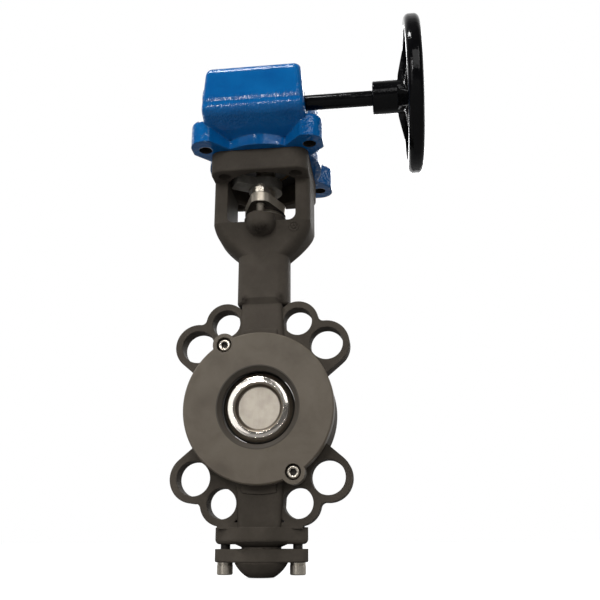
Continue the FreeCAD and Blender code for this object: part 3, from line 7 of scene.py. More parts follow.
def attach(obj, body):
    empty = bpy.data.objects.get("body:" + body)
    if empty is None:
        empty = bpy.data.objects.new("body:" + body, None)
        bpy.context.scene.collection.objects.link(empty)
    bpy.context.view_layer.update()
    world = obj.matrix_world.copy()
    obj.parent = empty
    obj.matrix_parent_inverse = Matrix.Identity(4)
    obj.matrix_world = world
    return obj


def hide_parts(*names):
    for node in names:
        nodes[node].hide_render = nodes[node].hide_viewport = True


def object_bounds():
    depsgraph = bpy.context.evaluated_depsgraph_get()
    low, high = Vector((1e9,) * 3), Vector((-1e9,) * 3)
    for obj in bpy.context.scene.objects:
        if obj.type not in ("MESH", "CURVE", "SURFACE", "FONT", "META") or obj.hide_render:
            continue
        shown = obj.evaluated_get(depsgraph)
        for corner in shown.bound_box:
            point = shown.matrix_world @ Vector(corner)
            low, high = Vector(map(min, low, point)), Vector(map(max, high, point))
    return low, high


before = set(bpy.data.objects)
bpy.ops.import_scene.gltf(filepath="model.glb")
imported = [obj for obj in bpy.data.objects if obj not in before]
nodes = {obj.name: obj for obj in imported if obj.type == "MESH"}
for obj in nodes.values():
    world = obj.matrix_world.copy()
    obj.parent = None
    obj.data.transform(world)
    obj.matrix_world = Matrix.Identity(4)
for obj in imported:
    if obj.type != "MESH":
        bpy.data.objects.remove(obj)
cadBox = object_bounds()
print("frame loaded with", len(nodes), "pieces")


# helpers for shader graphs; coordinates are metres on the object itself

def shade(red, green, blue):
    def lift(level):
        level = level / 255.0
        return level / 12.92 if level <= 0.04045 else ((level + 0.055) / 1.055) ** 2.4
    return (lift(red), lift(green), lift(blue), 1.0)


def startFinish(name, look):
    finish = bpy.data.materials.new(name)
    finish.use_nodes = True
    tree = finish.node_tree
    shader = tree.nodes["Principled BSDF"]
    shader.inputs["Roughness"].default_value = look["rough"]
    shader.inputs["Metallic"].default_value = look.get("metal", 0.0)
    shader.inputs["Specular IOR Level"].default_value = look.get("shine", 0.5)
    return finish, tree, shader


def feed(tree, socket, value):
    if hasattr(value, "is_output"):
        tree.links.new(value, socket)
    else:
        socket.default_value = value


def onObject(tree):
    return tree.nodes.new("ShaderNodeTexCoord").outputs["Object"]


def split(tree, vector):
    parts = tree.nodes.new("ShaderNodeSeparateXYZ")
    tree.links.new(vector, parts.inputs[0])
    return parts.outputs


def stretched(tree, stretch=(1.0, 1.0, 1.0)):
    mapping = tree.nodes.new("ShaderNodeMapping")
    mapping.inputs["Scale"].default_value = stretch
    tree.links.new(onObject(tree), mapping.inputs["Vector"])
    return mapping.outputs["Vector"]


def noise(tree, size, detail=4.0, rough=0.55, stretch=(1.0, 1.0, 1.0), warp=0.0):
    grain = tree.nodes.new("ShaderNodeTexNoise")
    grain.inputs["Scale"].default_value = 1.0 / size
    grain.inputs["Detail"].default_value = detail
    grain.inputs["Roughness"].default_value = rough
    grain.inputs["Distortion"].default_value = warp
    tree.links.new(stretched(tree, stretch), grain.inputs["Vector"])
    return grain.outputs["Fac"]


def cells(tree, size):
    spots = tree.nodes.new("ShaderNodeTexVoronoi")
    spots.inputs["Scale"].default_value = 1.0 / size
    tree.links.new(stretched(tree), spots.inputs["Vector"])
    return spots.outputs["Distance"]


def ramp(tree, source, stops):
    band = tree.nodes.new("ShaderNodeValToRGB")
    while len(band.color_ramp.elements) < len(stops):
        band.color_ramp.elements.new(0.5)
    for element, (where, colour) in zip(band.color_ramp.elements, stops):
        element.position = where
        element.color = colour
    tree.links.new(source, band.inputs["Fac"])
    return band.outputs["Color"]


def level(tree, source, low, high, fromLow=0.0, fromHigh=1.0):
    scale = tree.nodes.new("ShaderNodeMapRange")
    scale.inputs["From Min"].default_value = fromLow
    scale.inputs["From Max"].default_value = fromHigh
    scale.inputs["To Min"].default_value = low
    scale.inputs["To Max"].default_value = high
    tree.links.new(source, scale.inputs["Value"])
    return scale.outputs["Result"]


def fadeIn(tree, source, start, width, amount=1.0):
    return level(tree, source, 0.0, amount, start, start + width)


def fadeOut(tree, source, start, width, amount=1.0):
    return level(tree, source, amount, 0.0, start, start + width)


def blendColour(tree, factor, first, second):
    mix = tree.nodes.new("ShaderNodeMix")
    mix.data_type = "RGBA"
    for index, value in ((0, factor), (6, first), (7, second)):
        feed(tree, mix.inputs[index], value)
    return mix.outputs[2]


def blendFloat(tree, factor, first, second):
    mix = tree.nodes.new("ShaderNodeMix")
    for index, value in ((0, factor), (2, first), (3, second)):
        feed(tree, mix.inputs[index], value)
    return mix.outputs[0]


def sums(tree, way, first, second=0.0):
    node = tree.nodes.new("ShaderNodeMath")
    node.operation = way
    feed(tree, node.inputs[0], first)
    feed(tree, node.inputs[1], second)
    return node.outputs[0]


def times(tree, first, second):
    return sums(tree, "MULTIPLY", first, second)


def reachOf(tree, first, second):  # distance of a pair of values from nought
    squares = [times(tree, side, side) for side in (first, second)]
    return sums(tree, "SQRT", sums(tree, "ADD", *squares))


def relief(tree, shader, heights, edge, samples=4):  # softens edges, then stacks (height, depth, strength)
    soft = tree.nodes.new("ShaderNodeBevel")
    soft.samples = samples
    soft.inputs["Radius"].default_value = edge
    normal = soft.outputs["Normal"]
    for height, depth, strength in heights:
        bump = tree.nodes.new("ShaderNodeBump")
        bump.inputs["Distance"].default_value = depth
        bump.inputs["Strength"].default_value = strength
        tree.links.new(height, bump.inputs["Height"])
        tree.links.new(normal, bump.inputs["Normal"])
        normal = bump.outputs["Normal"]
    tree.links.new(normal, shader.inputs["Normal"])


def ringRadius(tree, axis):
    parts = split(tree, onObject(tree))
    return reachOf(tree, *[parts[name] for name in "XYZ" if name != axis])


def alongAxis(tree, axis):
    return split(tree, onObject(tree))[axis]


def nearSpot(tree, where, reach, soft):
    apart = tree.nodes.new("ShaderNodeVectorMath")
    apart.operation = "DISTANCE"
    tree.links.new(onObject(tree), apart.inputs[0])
    apart.inputs[1].default_value = where
    return fadeOut(tree, apart.outputs["Value"], reach, soft)


def turnedMarks(tree, axis, pitch, detail=3.0):
    grooves = tree.nodes.new("ShaderNodeTexNoise")
    grooves.noise_dimensions = "1D"
    grooves.inputs["Scale"].default_value = 1.0 / pitch
    grooves.inputs["Detail"].default_value = detail
    tree.links.new(ringRadius(tree, axis), grooves.inputs["W"])
    return grooves.outputs["Fac"]


def cloudy(tree, look):  # three shades in soft clouds
    clouds = noise(tree, *look["clouds"])
    shades = (look["dark"], look["base"], look["light"])
    return clouds, ramp(tree, clouds, list(zip(look["cloudStops"], shades)))


def mottled(tree, look, second="dark"):  # two shades in soft clouds
    clouds = noise(tree, *look["clouds"])
    share = level(tree, clouds, 0.0, 1.0, *look["cloudBand"])
    return clouds, blendColour(tree, share, look["base"], look[second])


def wear(finish, *pieces):
    for piece in pieces:
        slots = nodes[piece].data.materials
        slots.clear()
        slots.append(finish)


# noises in the dictionaries read: size, detail, roughness, stretch and warp; bumps read: depth and strength

# cast iron skin of the body and its cover, with painted shadow under the front stud boss, a drip stain below
# it, and dark spots on the saddle
castingSkin = {
    "base": shade(73, 67, 60), "dark": shade(63, 58, 51), "light": shade(82, 76, 68),
    "shine": 0.12, "rough": 0.78, "roughRange": (0.68, 0.86), "edge": 0.0009,
    "clouds": (0.03, 5.0, 0.6), "cloudStops": (0.3, 0.52, 0.75),
    "speck": (0.0016, 3.0, 0.7), "speckRange": (0.0, 0.35, 0.5, 0.8),
    "wave": (0.012, 2.0), "waveBump": (0.0002, 0.6),
    "grain": (0.0011, 6.0, 0.65), "grainBump": (0.00007, 1.0),
    "stainAndShadow": shade(26, 20, 17), "stainAndShadowShare": 0.85,
    "ragged": (0.002, 4.0, 0.7), "raggedRange": (0.3, 1.4, 0.3, 0.7),
    "domeShadowAndStains": [((0.0015, -0.0265, 0.1178), 0.0022, 0.0045), ((-0.0035, -0.0260, 0.1185), 0.0015, 0.0040),
                   ((0.0062, -0.0260, 0.1185), 0.0015, 0.0040), ((0.0000, -0.0200, 0.1165), 0.0012, 0.0030),
                   ((-0.0008, -0.0190, 0.1130), 0.0008, 0.0030)],
    "saddleDarkSpots": [((0.0140, -0.0135, 0.0745), 0.001, 0.004), ((-0.0120, -0.0135, 0.0735), 0.0008, 0.004)],
}


def makeCastingSkin():
    look = castingSkin
    finish, tree, shader = startFinish("castingSkin", look)
    colour = cloudy(tree, look)[1]
    speck = noise(tree, *look["speck"])
    colour = blendColour(tree, level(tree, speck, *look["speckRange"]), colour, look["dark"])
    ragged = level(tree, noise(tree, *look["ragged"]), *look["raggedRange"])
    # dark spots: painted shadow under the stud boss, a drip stain below it, and dark spots on the saddle
    for where, reach, soft in look["domeShadowAndStains"] + look["saddleDarkSpots"]:
        mark = times(tree, times(tree, nearSpot(tree, where, reach, soft), ragged), look["stainAndShadowShare"])
        colour = blendColour(tree, mark, colour, look["stainAndShadow"])
    tree.links.new(colour, shader.inputs["Base Color"])
    tree.links.new(level(tree, speck, *look["roughRange"]), shader.inputs["Roughness"])
    relief(tree, shader, [
        (noise(tree, *look["wave"]), *look["waveBump"]),
        (noise(tree, *look["grain"]), *look["grainBump"]),
    ], look["edge"])
    return finish


# faced and coated plate round the bore, with painted shade darkening the chamfer at the mouth of the bore
plateFace = {
    "base": shade(97, 89, 78), "dark": shade(86, 78, 68), "light": shade(104, 96, 85),
    "shine": 0.2, "rough": 0.5, "roughRange": (0.42, 0.6), "edge": 0.0004,
    "clouds": (0.022, 5.0, 0.55, (1.0, 1.0, 1.0), 0.4), "cloudStops": (0.3, 0.5, 0.72),
    "dust": (0.0025, 4.0, 0.7), "dustRange": (0.0, 0.4, 0.55, 0.85),
    "mouth": shade(62, 57, 51), "shadedMouthRadius": 0.0268, "shadedMouthFade": 0.0003, "shadedMouthShare": 0.85,
    "markPitch": 0.0005, "markBump": (0.000008, 0.8), "grain": (0.0006, 3.0), "grainBump": (0.00002, 0.6),
}


def makePlateFace():
    look = plateFace
    finish, tree, shader = startFinish("plateFace", look)
    clouds, colour = cloudy(tree, look)
    dust = level(tree, noise(tree, *look["dust"]), *look["dustRange"])
    colour = blendColour(tree, dust, colour, look["dark"])
    # painted shade: the chamfer at the mouth of the bore is darkened
    mouth = fadeOut(tree, ringRadius(tree, "Y"), look["shadedMouthRadius"], look["shadedMouthFade"], look["shadedMouthShare"])
    colour = blendColour(tree, mouth, colour, look["mouth"])
    tree.links.new(colour, shader.inputs["Base Color"])
    tree.links.new(level(tree, clouds, *look["roughRange"]), shader.inputs["Roughness"])
    relief(tree, shader, [
        (turnedMarks(tree, "Y", look["markPitch"]), *look["markBump"]),
        (noise(tree, *look["grain"]), *look["grainBump"]),
    ], look["edge"])
    return finish


# bright turned disc with a dull dished floor and a dark line of painted shade in its corner
discPolish = {
    "rim": shade(222, 215, 206), "floor": shade(177, 169, 157), "dull": shade(140, 130, 120),
    "rough": 0.2, "metal": 1.0, "edge": 0.0004, "floorEdge": 0.0136, "rimFade": 0.0004,
    "clouds": (0.008, 4.0, 0.6), "dullRange": (0.0, 0.5, 0.4, 0.75), "dullOnRim": 0.3,
    "floorRough": 0.5, "rimRough": 0.1, "brushRough": (-0.05, 0.06, 0.3, 0.7),
    "paintedShade": shade(58, 50, 42), "shadeLineWidth": 0.0011, "shadeLinePlace": 0.7, "shadeLineCore": 0.4, "paintedShadeShare": 0.8,
    "crownStart": 0.0160, "crownWidth": 0.004, "crown": 30.0, "crownBump": (1.0, 1.0),
    "markPitch": 0.00035, "markBump": (0.00001, 0.8),
    "brushed": (1.0, 3.0, 0.6, (900.0, 900.0, 90.0)), "brushBump": (0.00001, 0.6),
    "wave": (0.006, 3.0), "waveBump": (0.00006, 0.6),
}


def makeDiscPolish():
    look = discPolish
    finish, tree, shader = startFinish("discPolish", look)
    radius = ringRadius(tree, "Y")
    rim = fadeIn(tree, radius, look["floorEdge"], look["rimFade"])
    clouds = noise(tree, *look["clouds"])
    brushed = noise(tree, *look["brushed"])
    colour = blendColour(tree, rim, look["floor"], look["rim"])
    dull = times(tree, level(tree, clouds, *look["dullRange"]), level(tree, rim, 1.0, look["dullOnRim"]))
    colour = blendColour(tree, dull, colour, look["dull"])
    # painted shade: a dark line where the dish's wall meets the floor
    width = look["shadeLineWidth"]
    corner = sums(tree, "SUBTRACT", radius, look["floorEdge"] + width * look["shadeLinePlace"])
    corner = sums(tree, "ABSOLUTE", corner)
    paintedShade = level(tree, corner, look["paintedShadeShare"], 0.0, width * look["shadeLineCore"], width)
    colour = blendColour(tree, paintedShade, colour, look["paintedShade"])
    tree.links.new(colour, shader.inputs["Base Color"])
    rough = sums(tree, "ADD", level(tree, rim, look["floorRough"], look["rimRough"]),
                 level(tree, brushed, *look["brushRough"]))
    tree.links.new(rough, shader.inputs["Roughness"])
    away = fadeIn(tree, radius, look["crownStart"], look["crownWidth"], look["crownWidth"])
    crown = times(tree, times(tree, away, away), -look["crown"])
    relief(tree, shader, [
        (crown, *look["crownBump"]),
        (turnedMarks(tree, "Y", look["markPitch"]), *look["markBump"]),
        (brushed, *look["brushBump"]),
        (noise(tree, *look["wave"]), *look["waveBump"]),
    ], look["edge"])
    return finish


# satin stainless of gland, collar and stem, with painted shade under the gland flange, brighter fasteners,
# and oiled dark steel, which also gives painted shade in screw sockets and shanks
satinSteel = {"base": shade(208, 199, 184), "dark": shade(176, 166, 150), "rough": 0.34, "metal": 0.7,
              "clouds": (0.008, 4.0, 0.6), "grain": 0.0016, "grainDepth": 0.02}
glandSteel = dict(satinSteel, under=0.14045, paintedShade=shade(40, 35, 30))  # painted shade below the height named under, darkening the underside of the gland flange
clampSteel = {"base": shade(138, 134, 127), "dark": shade(112, 108, 101), "rough": 0.5, "metal": 0.35,
              "clouds": (0.006, 4.0, 0.6), "grain": 0.0016, "grainDepth": 0.03}
fastenerSteel = {"base": shade(200, 192, 179), "dark": shade(158, 149, 136), "rough": 0.27, "metal": 0.88,
                 "clouds": (0.004, 4.0, 0.6), "grain": 0.0014, "grainDepth": 0.003}
darkSteel = {"base": shade(52, 47, 42), "dark": shade(30, 27, 24), "rough": 0.55, "metal": 0.6,
             "clouds": (0.004, 4.0, 0.6), "grain": 0.0012, "grainDepth": 0.03}
steelSurface = {"cloudBand": (0.35, 0.75), "smoother": 0.08, "rougher": 0.14, "paintedShadeShare": 0.9,
                "grainDetail": (4.0, 0.6), "strength": 0.7, "edge": 0.00025,
                "finer": 0.3, "finerDetail": 3.0, "finerDepth": 0.5}


def makeSteel(name, steel):
    look = dict(steelSurface, **steel)
    finish, tree, shader = startFinish(name, look)
    clouds, colour = mottled(tree, look)
    # painted shade on the underside, below the height named under
    if "under" in look:
        below = times(tree, sums(tree, "LESS_THAN", alongAxis(tree, "Z"), look["under"]), look["paintedShadeShare"])
        colour = blendColour(tree, below, colour, look["paintedShade"])
    tree.links.new(colour, shader.inputs["Base Color"])
    rough = level(tree, clouds, look["rough"] - look["smoother"], look["rough"] + look["rougher"])
    tree.links.new(rough, shader.inputs["Roughness"])
    grain, depth = look["grain"], look["grain"] * look["grainDepth"]
    finer = noise(tree, grain * look["finer"], look["finerDetail"])
    relief(tree, shader, [
        (noise(tree, grain, *look["grainDetail"]), depth, look["strength"]),
        (finer, depth * look["finerDepth"], look["strength"]),
    ], look["edge"])
    return finish


# glossy blue enamel over a rough casting; the bare face where it meets the yoke and the inside of the lug
# holes are darkened as painted shade
blueEnamel = {
    "base": shade(3, 91, 155), "dark": shade(2, 83, 147), "light": shade(7, 98, 163),
    "shine": 0.3, "rough": 0.1, "edge": 0.0016, "clouds": (0.02, 4.0, 0.6), "cloudStops": (0.3, 0.5, 0.75),
    "gloss": (0.006, 3.0), "glossRange": (0.05, 0.12),
    "nib": shade(70, 140, 190), "nibSize": 0.0026, "nibReach": 0.12, "nibShare": 0.2,
    "nibBump": (0.00005, 0.5),
    "swell": (0.011, 1.0), "swellBump": (0.0002, 0.7), "peel": (0.0045, 1.0), "peelBump": (0.00012, 1.0),
    "bellyTop": 0.2056, "bellyDrop": 0.0066, "bellyCurve": 16.0, "bellyFront": -0.057, "bellyFade": 0.012,
    "bellyBump": (1.0, 1.0),
    "runs": (1.0, 1.0, 0.5, (620.0, 620.0, 95.0), 0.3), "runRange": (0.1, 1.0, 0.0, 0.004),
    "runBump": (0.0005, 1.0),
    "wrinkle": (0.0034, 1.0, 0.5, (1.0, 1.0, 1.0), 0.6), "wrinkleBump": (0.0006, 1.0),
    "wrinkleSide": 0.0285, "wrinkleSideFade": 0.003, "wrinkleTop": 0.2225, "wrinkleTopFade": 0.002,
    "bareAndShaded": shade(34, 30, 27), "bareTop": 0.17615, "bareRadius": 0.0335, "bareFade": 0.0004, "bareRough": 0.7,
    "lugPlace": 0.03606, "lugHole": 0.0044, "lugHoleFade": 0.0002, "lugHoleTop": 0.1885,
}


def lugHoleMask(tree):
    fold = tree.nodes.new("ShaderNodeVectorMath")
    fold.operation = "ABSOLUTE"
    tree.links.new(onObject(tree), fold.inputs[0])
    parts = split(tree, fold.outputs["Vector"])
    away = reachOf(tree, *[sums(tree, "SUBTRACT", parts[name], blueEnamel["lugPlace"]) for name in "XY"])
    inside = fadeOut(tree, away, blueEnamel["lugHole"], blueEnamel["lugHoleFade"])
    return times(tree, inside, sums(tree, "LESS_THAN", parts["Z"], blueEnamel["lugHoleTop"]))


def makeBlueEnamel():
    look = blueEnamel
    finish, tree, shader = startFinish("blueEnamel", look)
    colour = cloudy(tree, look)[1]
    nibs = fadeOut(tree, cells(tree, look["nibSize"]), 0.0, look["nibReach"])
    colour = blendColour(tree, times(tree, nibs, look["nibShare"]), colour, look["nib"])
    height = alongAxis(tree, "Z")
    # painted shade: the bare joint face under the casing and the lug holes are darkened
    face = fadeOut(tree, ringRadius(tree, "Z"), look["bareRadius"], look["bareFade"])
    joint = times(tree, face, sums(tree, "LESS_THAN", height, look["bareTop"]))
    bareAndShaded = sums(tree, "MAXIMUM", joint, lugHoleMask(tree))
    colour = blendColour(tree, bareAndShaded, colour, look["bareAndShaded"])
    tree.links.new(colour, shader.inputs["Base Color"])
    gloss = level(tree, noise(tree, *look["gloss"]), *look["glossRange"])
    tree.links.new(blendFloat(tree, bareAndShaded, gloss, look["bareRough"]), shader.inputs["Roughness"])
    # the belly falls away below the flat front of the worm casing, and carries the paint runs
    depth = look["bellyDrop"]
    drop = fadeOut(tree, height, look["bellyTop"] - depth, depth, depth)
    front = fadeOut(tree, alongAxis(tree, "Y"), look["bellyFront"], look["bellyFade"])
    belly = times(tree, times(tree, drop, drop), -look["bellyCurve"])
    heavy = times(tree, noise(tree, *look["runs"]), level(tree, drop, *look["runRange"]))
    # the paint wrinkles at the ends and on top of the casing
    side = sums(tree, "ABSOLUTE", alongAxis(tree, "X"))
    thick = sums(tree, "MAXIMUM", fadeIn(tree, side, look["wrinkleSide"], look["wrinkleSideFade"]),
                 fadeIn(tree, height, look["wrinkleTop"], look["wrinkleTopFade"]))
    relief(tree, shader, [
        (times(tree, belly, front), *look["bellyBump"]),
        (noise(tree, *look["swell"]), *look["swellBump"]),
        (times(tree, heavy, front), *look["runBump"]),
        (times(tree, noise(tree, *look["wrinkle"]), thick), *look["wrinkleBump"]),
        (noise(tree, *look["peel"]), *look["peelBump"]),
        (nibs, *look["nibBump"]),
    ], look["edge"])
    return finish


# glossy black coat of shaft and handwheel
blackEnamel = {
    "base": shade(4, 4, 5), "pale": shade(9, 9, 11), "shine": 0.16, "rough": 0.1, "roughRange": (0.06, 0.14),
    "edge": 0.0008, "clouds": (0.012, 4.0, 0.6), "cloudBand": (0.4, 0.7),
    "wave": (0.006, 3.0, 0.6), "waveBump": (0.00025, 0.7), "grain": (0.0018, 3.0), "grainBump": (0.0001, 0.5),
}


def makeBlackEnamel():
    look = blackEnamel
    finish, tree, shader = startFinish("blackEnamel", look)
    clouds, colour = mottled(tree, look, "pale")
    tree.links.new(colour, shader.inputs["Base Color"])
    tree.links.new(level(tree, clouds, *look["roughRange"]), shader.inputs["Roughness"])
    relief(tree, shader, [
        (noise(tree, *look["wave"]), *look["waveBump"]),
        (noise(tree, *look["grain"]), *look["grainBump"]),
    ], look["edge"])
    return finish


# plain materials of seals, bushes and the inner gear
plainLooks = {
    "seatCompound": {"base": shade(26, 25, 24), "dark": shade(14, 14, 14), "rough": 0.5},
    "graphitePacking": {"base": shade(52, 52, 52), "dark": shade(30, 30, 30), "rough": 0.6, "metal": 0.2},
    "fibreGasket": {"base": shade(96, 88, 78), "dark": shade(70, 64, 56), "rough": 0.85},
    "sealRubber": {"base": shade(22, 22, 22), "dark": shade(12, 12, 12), "rough": 0.7},
    "bushBronze": {"base": shade(104, 80, 48), "dark": shade(70, 54, 34), "rough": 0.45, "metal": 0.9},
    "gearIron": {"base": shade(96, 95, 94), "dark": shade(64, 63, 62), "rough": 0.42, "metal": 0.8},
    "capPlastic": {"base": shade(24, 24, 25), "dark": shade(14, 14, 15), "rough": 0.3},
}
plainSurface = {"clouds": (0.004, 5.0, 0.6), "cloudBand": (0.35, 0.7), "roughSpread": 0.1,
                "grain": (0.0009, 4.0), "grainBump": (0.00004, 0.7), "edge": 0.0002}


def makePlain(name):
    look = dict(plainSurface, **plainLooks[name])
    finish, tree, shader = startFinish(name, look)
    clouds, colour = mottled(tree, look)
    tree.links.new(colour, shader.inputs["Base Color"])
    rough = level(tree, clouds, look["rough"] - look["roughSpread"], look["rough"] + look["roughSpread"])
    tree.links.new(rough, shader.inputs["Roughness"])
    relief(tree, shader, [(noise(tree, *look["grain"]), *look["grainBump"])], look["edge"])
    return finish


wear(makeCastingSkin(), "valve_body", "bottom_cover")
wear(makePlateFace(), "seat_retainer")
wear(makeDiscPolish(), "disc")
wear(makeSteel("satinSteel", satinSteel), "gland_bush", "junk_ring", "stem")
wear(makeSteel("glandSteel", glandSteel), "gland_flange")
wear(makeSteel("clampSteel", clampSteel), "stop_collar")
wear(makeSteel("darkSteel", darkSteel), "flange_studs")
fastenerFinish = makeSteel("fastenerSteel", fastenerSteel)
wear(fastenerFinish, "bottom_cover_washers", "stem_key", "disc_pins", "worm", "worm_pin")
wear(makeBlueEnamel(), "gearbox_housing", "gearbox_cover", "worm_end_cap")
wear(makeBlackEnamel(), "handwheel", "handwheel_pin", "input_shaft")
for finishName, pieces in (
        ("seatCompound", ["seat_ring"]), ("graphitePacking", ["packing_rings"]),
        ("fibreGasket", ["bottom_gasket", "cover_gasket"]), ("sealRubber", ["shaft_seal"]),
        ("bushBronze", ["upper_stem_bush", "lower_stem_bush", "disc_thrust_washers", "bottom_thrust_washer",
                        "wheel_bush", "worm_bushes"]),
        ("gearIron", ["worm_wheel"]), ("capPlastic", ["position_indicator"])):
    wear(makePlain(finishName), *pieces)
print("finishes made")


# fasteners built as rings of points; sizes in millimetres, the axis runs from shank to head;
# sides are the steps round a ring, and edges that turn by more degrees than sharp stay sharp
millimetre = 0.001
ringsPerTurn = 8


def hexagon(across):
    def reach(angle):
        return across / 2 / math.cos(angle % (math.pi / 3) - math.pi / 6)
    return reach


def knurl(radius, depth, count):
    def reach(angle):
        return radius - depth * (0.5 - 0.5 * math.cos(angle * count))
    return reach


def worn(radius, across):  # nut corner cut by its chamfer
    shape = hexagon(across)
    return lambda angle: min(radius, shape(angle))


def addRings(mesh, rings, sides, put):  # a third value of 1 gives the band that starts at a ring the dark finish, as painted shade
    loops = []
    shades = [ring[2] if len(ring) > 2 else 0 for ring in rings]
    for height, reach in [ring[:2] for ring in rings]:
        loop = []
        for step in range(1 if reach == 0 else sides):
            angle = math.tau * step / sides
            radius = reach(angle) if callable(reach) else reach
            spot = Vector((radius * math.cos(angle), radius * math.sin(angle), height)) * millimetre
            loop.append(mesh.verts.new(put @ spot))
        loops.append(loop)
    for low, high, shadedBand in zip(loops, loops[1:], shades):
        for step in range(sides):
            after = (step + 1) % sides
            if len(low) == 1:
                face = mesh.faces.new((low[0], high[after], high[step]))
            elif len(high) == 1:
                face = mesh.faces.new((low[step], low[after], high[0]))
            else:
                face = mesh.faces.new((low[step], low[after], high[after], high[step]))
            face.material_index = shadedBand
    for loop in (loops[0], loops[-1]):
        if len(loop) > 1:
            mesh.faces.new(loop)


def turnTo(way, where):  # stands a fastener at a place, its head pointing along way
    spin = {"front": Matrix.Rotation(math.pi / 2, 4, "X"), "back": Matrix.Rotation(-math.pi / 2, 4, "X"),
            "up": Matrix.Identity(4), "down": Matrix.Rotation(math.pi, 4, "X")}[way]
    return Matrix.Translation(Vector(where) * millimetre) @ spin


def makeFasteners(name, node, body, size, rings, way, places):
    mesh = bmesh.new()
    for where in places:
        addRings(mesh, rings, size["sides"], turnTo(way, where))
    bmesh.ops.recalc_face_normals(mesh, faces=mesh.faces)
    data = bpy.data.meshes.new(name)
    mesh.to_mesh(data)
    mesh.free()
    data.shade_smooth()
    data.set_sharp_from_angle(angle=math.radians(size["sharp"]))
    data.materials.append(fastenerFinish)
    data.materials.append(nodes["flange_studs"].data.materials[0])  # painted shade in the sockets and on the shanks
    piece = bpy.data.objects.new(name, data)
    bpy.context.scene.collection.objects.link(piece)
    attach(piece, body)
    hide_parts(node)


def socketRings(top, size, shadedBand=0):  # hexagon socket sunk from the top of a screw
    key = hexagon(size["key"])
    floor = top - size["socket"]
    return [(top, size["mouth"]), (top - size["bevel"], key, shadedBand),
            (floor, key, shadedBand), (floor - size["cone"], 0)]


# how far a cap screw's rings stand inside its shank, its head and its top
headShape = {"point": 0.5, "pointLong": 0.6, "under": 0.35, "underHigh": 0.25, "crest": 0.3,
             "crestLow": 0.7, "crestHigh": 0.25, "face": 0.75}


def capScrew(size):  # knurled head with a hexagon socket; zero height is the seat under the head
    head, tall, shank, long = size["head"], size["tall"], size["shank"], size["long"]
    ridges = knurl(head, size["knurl"], size["ridges"])
    crest = knurl(head - headShape["crest"], size["knurl"], size["ridges"])
    # the socket walls, and on the bottom screws the shank, carry painted shade
    shadedBand = size.get("shadedShank", 0)
    return [
        (-long, shank - headShape["point"], shadedBand), (-long + headShape["pointLong"], shank, shadedBand),
        (0.0, shank), (0.0, head - headShape["under"]), (headShape["underHigh"], ridges),
        (tall - headShape["crestLow"], ridges), (tall - headShape["crestHigh"], crest),
        (tall, head - headShape["face"]),
    ] + socketRings(tall, size, 1)


# heights are shares of the nut's height, face, low and high of half its width, mouth is the bore's chamfer
nutShape = {"heights": (0.04, 0.1, 0.16), "face": 0.97, "low": 1.02, "high": 1.09, "mouth": 0.5}


def hexNut(size):
    across, tall, bore = size["across"], size["tall"], size["bore"]
    flat = across / 2
    shape = hexagon(across)
    reaches = (worn(flat * nutShape["low"], across), worn(flat * nutShape["high"], across), shape)
    corner = list(zip(nutShape["heights"], reaches))
    rising = [(tall * share, reach) for share, reach in corner]
    falling = [(tall * (1 - share), reach) for share, reach in reversed(corner)]
    face = flat * nutShape["face"]
    return ([(0.0, bore), (0.0, face)] + rising + falling
            + [(tall, face), (tall, bore + nutShape["mouth"]), (tall - nutShape["mouth"], bore)])


def threaded(size):
    start, end, pitch = size["threadLow"], size["high"] - size["endLong"], size["pitch"]
    rings = []
    count = int((end - start) / pitch * ringsPerTurn)
    for step in range(count + 1):
        height = start + (end - start) * step / count

        def reach(angle, height=height):
            turn = (height / pitch - angle / math.tau) % 1.0
            return size["radius"] - size["depth"] * abs(2.0 * turn - 1.0)
        rings.append((height, reach))
    return rings


def stud(size):  # pointed bar with a plain shank, a thread and a narrowed end
    shank = size["shank"]
    return ([(size["low"], size["point"]), (size["low"] + size["pointLong"], shank),
             (size["threadLow"] - size["runOut"], shank)]
            + threaded(size) + [(size["high"], size["end"])])


# socket screws that hold the seat retainer
retainerScrew = {"head": 4.15, "tall": 5.0, "shank": 2.5, "long": 16.2, "knurl": 0.14, "ridges": 42,
                 "key": 4.0, "socket": 2.6, "mouth": 2.64, "bevel": 0.25, "cone": 0.5,
                 "sides": 168, "sharp": 32.0, "place": (-22.64, 40.84), "seat": -15.5}
x, z = retainerScrew["place"]
makeFasteners("retainerCapScrews", "retainer_screws", "housing",
              retainerScrew, capScrew(retainerScrew), "front",
              [(x, retainerScrew["seat"], z), (-x, retainerScrew["seat"], -z)])

# socket screws under the bottom cover
bottomScrew = {"head": 4.97, "tall": 6.0, "shank": 3.0, "long": 20.0, "knurl": 0.05, "ridges": 24,
               "key": 5.0, "socket": 3.0, "mouth": 3.3, "bevel": 0.25, "cone": 0.5,
               "sides": 192, "sharp": 32.0, "shadedShank": 1, "offset": 22.9, "seat": -95.0}
makeFasteners("bottomCapScrews", "bottom_cover_screws", "housing",
              bottomScrew, capScrew(bottomScrew), "down",
              [(side * bottomScrew["offset"], 0.0, bottomScrew["seat"]) for side in (-1, 1)])

